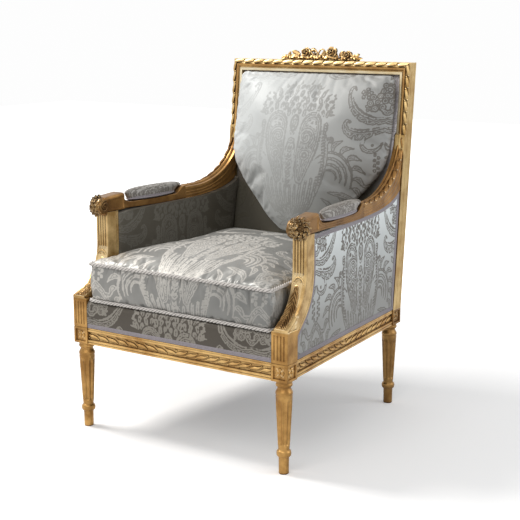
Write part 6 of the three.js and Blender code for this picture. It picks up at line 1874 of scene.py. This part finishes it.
# Arm rest pads: small boat-shaped pads nailed in the scoop of the arms, welted round the lower edge
MANCHETTE_SHARES = (
    (0, 0.13, 0.79, 0.7), (0.09, 0.065, 0.84, 0.88), (0.28, 0.03, 0.884, 1), (0.49, 0.01, 0.93, 1),
    (0.68, 0, 1, 0.94), (0.86, 0.05, 0.95, 0.76), (0.97, 0.16, 0.83, 0.44),
)
MANCHETTE_MIDDLE, MANCHETTE_HALF, MANCHETTE_TALL = 0.014, 0.0226, 0.036
MANCHETTE_Y = (0.198, 0.431)
rest_silk = silk("rest_silk", (0.33, 0.315, 0.29), (0.16, 0.145, 0.13))
for side, label in SIDES:
    def pad_ring(start, stop, wide, up, count=120):
        y0, y1 = lerp(*MANCHETTE_Y, start), lerp(*MANCHETTE_Y, stop)
        return [on_side(side, MANCHETTE_MIDDLE + wide * MANCHETTE_HALF * math.cos(a),
                        FRONT_Y + (y0 + y1) / 2 + (y1 - y0) / 2 * math.sin(a), 0.6164 + up * MANCHETTE_TALL)
                for a in [math.tau * k / count for k in range(count)]]

    fine = smooth_path([(wide, start, stop) for up, start, stop, wide in MANCHETTE_SHARES], 6)
    ups = smooth_path([(shares[0], 0, 0) for shares in MANCHETTE_SHARES], 6)
    rings = [pad_ring(shares.y, shares.z, shares.x, level.x) for shares, level in zip(fine, ups)]
    centre = sum(rings[-1], Vector()) / len(rings[-1])
    rings += [[p.lerp(centre, share) + Vector((0, 0, rise)) for p in rings[-1]]
              for share, rise in ((0.3, 0.0005), (0.6, 0.0008), (0.9, 0.0010))]
    pad = drawn_out(rings)
    for up, size in ((0.16, 0.0030), (0.28, 0.0016)):
        welt = [tuple(p) for p in pad_ring(0.045, 0.865, 0.97, up)]
        take_mesh(pad, tube_of(np.array(welt), size, sides=8))
    piece = finished(pad, f"damask_arm_rest_{label}", rest_silk, braid, sharp=60)
    spots = vectors_of(piece.data, "co")
    weave(piece, 2.2 * (np.abs(spots[:, 0]) - 0.31), 2.2 * (spots[:, 1] - FRONT_Y - 0.31))
    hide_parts(f"manchette_{label}")

# What the dressed chair still shows of its inner pieces: bare beech braces and rails, steel screws, a
# jute webbing, a cotton dust cover, the white filling of the cushions and their brass zips
def plain(name, pale, dark, rough, scale, stretch=(1, 1, 1), metal=0.0, bump_height=0.0006, detail=4.0):
    """A finish of two tones mixed by noise that may be stretched along the piece."""
    finish, nodes, shader = new_finish(name, Metallic=metal, Roughness=rough)
    place = add_node(nodes, "TexCoord")
    drawn = add_node(nodes, "VectorMath", operation="MULTIPLY", in_1=stretch)
    grain = add_node(nodes, "TexNoise", in_Scale=scale, in_Detail=detail)
    spread = add_node(nodes, "MapRange", in_1=0.35, in_2=0.65)
    tone = add_node(nodes, "Mix", data_type="RGBA", in_6=(*dark, 1), in_7=(*pale, 1))
    bump = add_node(nodes, "Bump", in_Strength=0.4, in_Distance=bump_height)
    join(nodes, (place, "Object", drawn, 0), (drawn, 0, grain, "Vector"), (grain, 0, spread, "Value"),
         (spread, 0, tone, 0), (tone, 2, shader, "Base Color"), (grain, 0, bump, "Height"),
         (bump, 0, shader, "Normal"))
    return finish

beech = plain("bare_beech", (0.52, 0.35, 0.20), (0.36, 0.22, 0.11), 0.6, 60, stretch=(0.12, 1, 1))
steel = plain("steel", (0.55, 0.54, 0.52), (0.32, 0.31, 0.30), 0.35, 300, metal=1.0)
jute = plain("jute", (0.42, 0.31, 0.18), (0.22, 0.15, 0.08), 0.85, 260, bump_height=0.001)
cotton = plain("dust_cotton", (0.035, 0.035, 0.037), (0.018, 0.018, 0.02), 0.85, 700)
fibre = plain("fibre_filling", (0.82, 0.81, 0.78), (0.66, 0.65, 0.62), 0.9, 140, bump_height=0.002)
zip_tape = plain("zip", (0.40, 0.36, 0.28), (0.22, 0.20, 0.17), 0.5, 500, metal=0.3)
corners = [(end, side) for end in ("front", "rear") for side in ("right", "left")]
inner_finishes = (
    (beech, ("back_rail", "lower_back_rail", *[f"{end}_brace_{side}" for end, side in corners])),
    (steel, [f"{end}_{way}_screw_{side}" for end, side in corners for way in ("cross", "side")]),
    (jute, ("seat_webbing",)), (cotton, ("dust_cover",)),
    (fibre, ("seat_cushion_filling", "back_cushion_filling")),
    (zip_tape, ("seat_cushion_zip", "back_cushion_zip")),
)
for finish, names in inner_finishes:
    for name in names:
        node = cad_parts[name]
        node.data.materials.clear()
        node.data.materials.append(finish)

size = {"cad": cad_box, "visual": [list(corner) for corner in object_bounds()]}
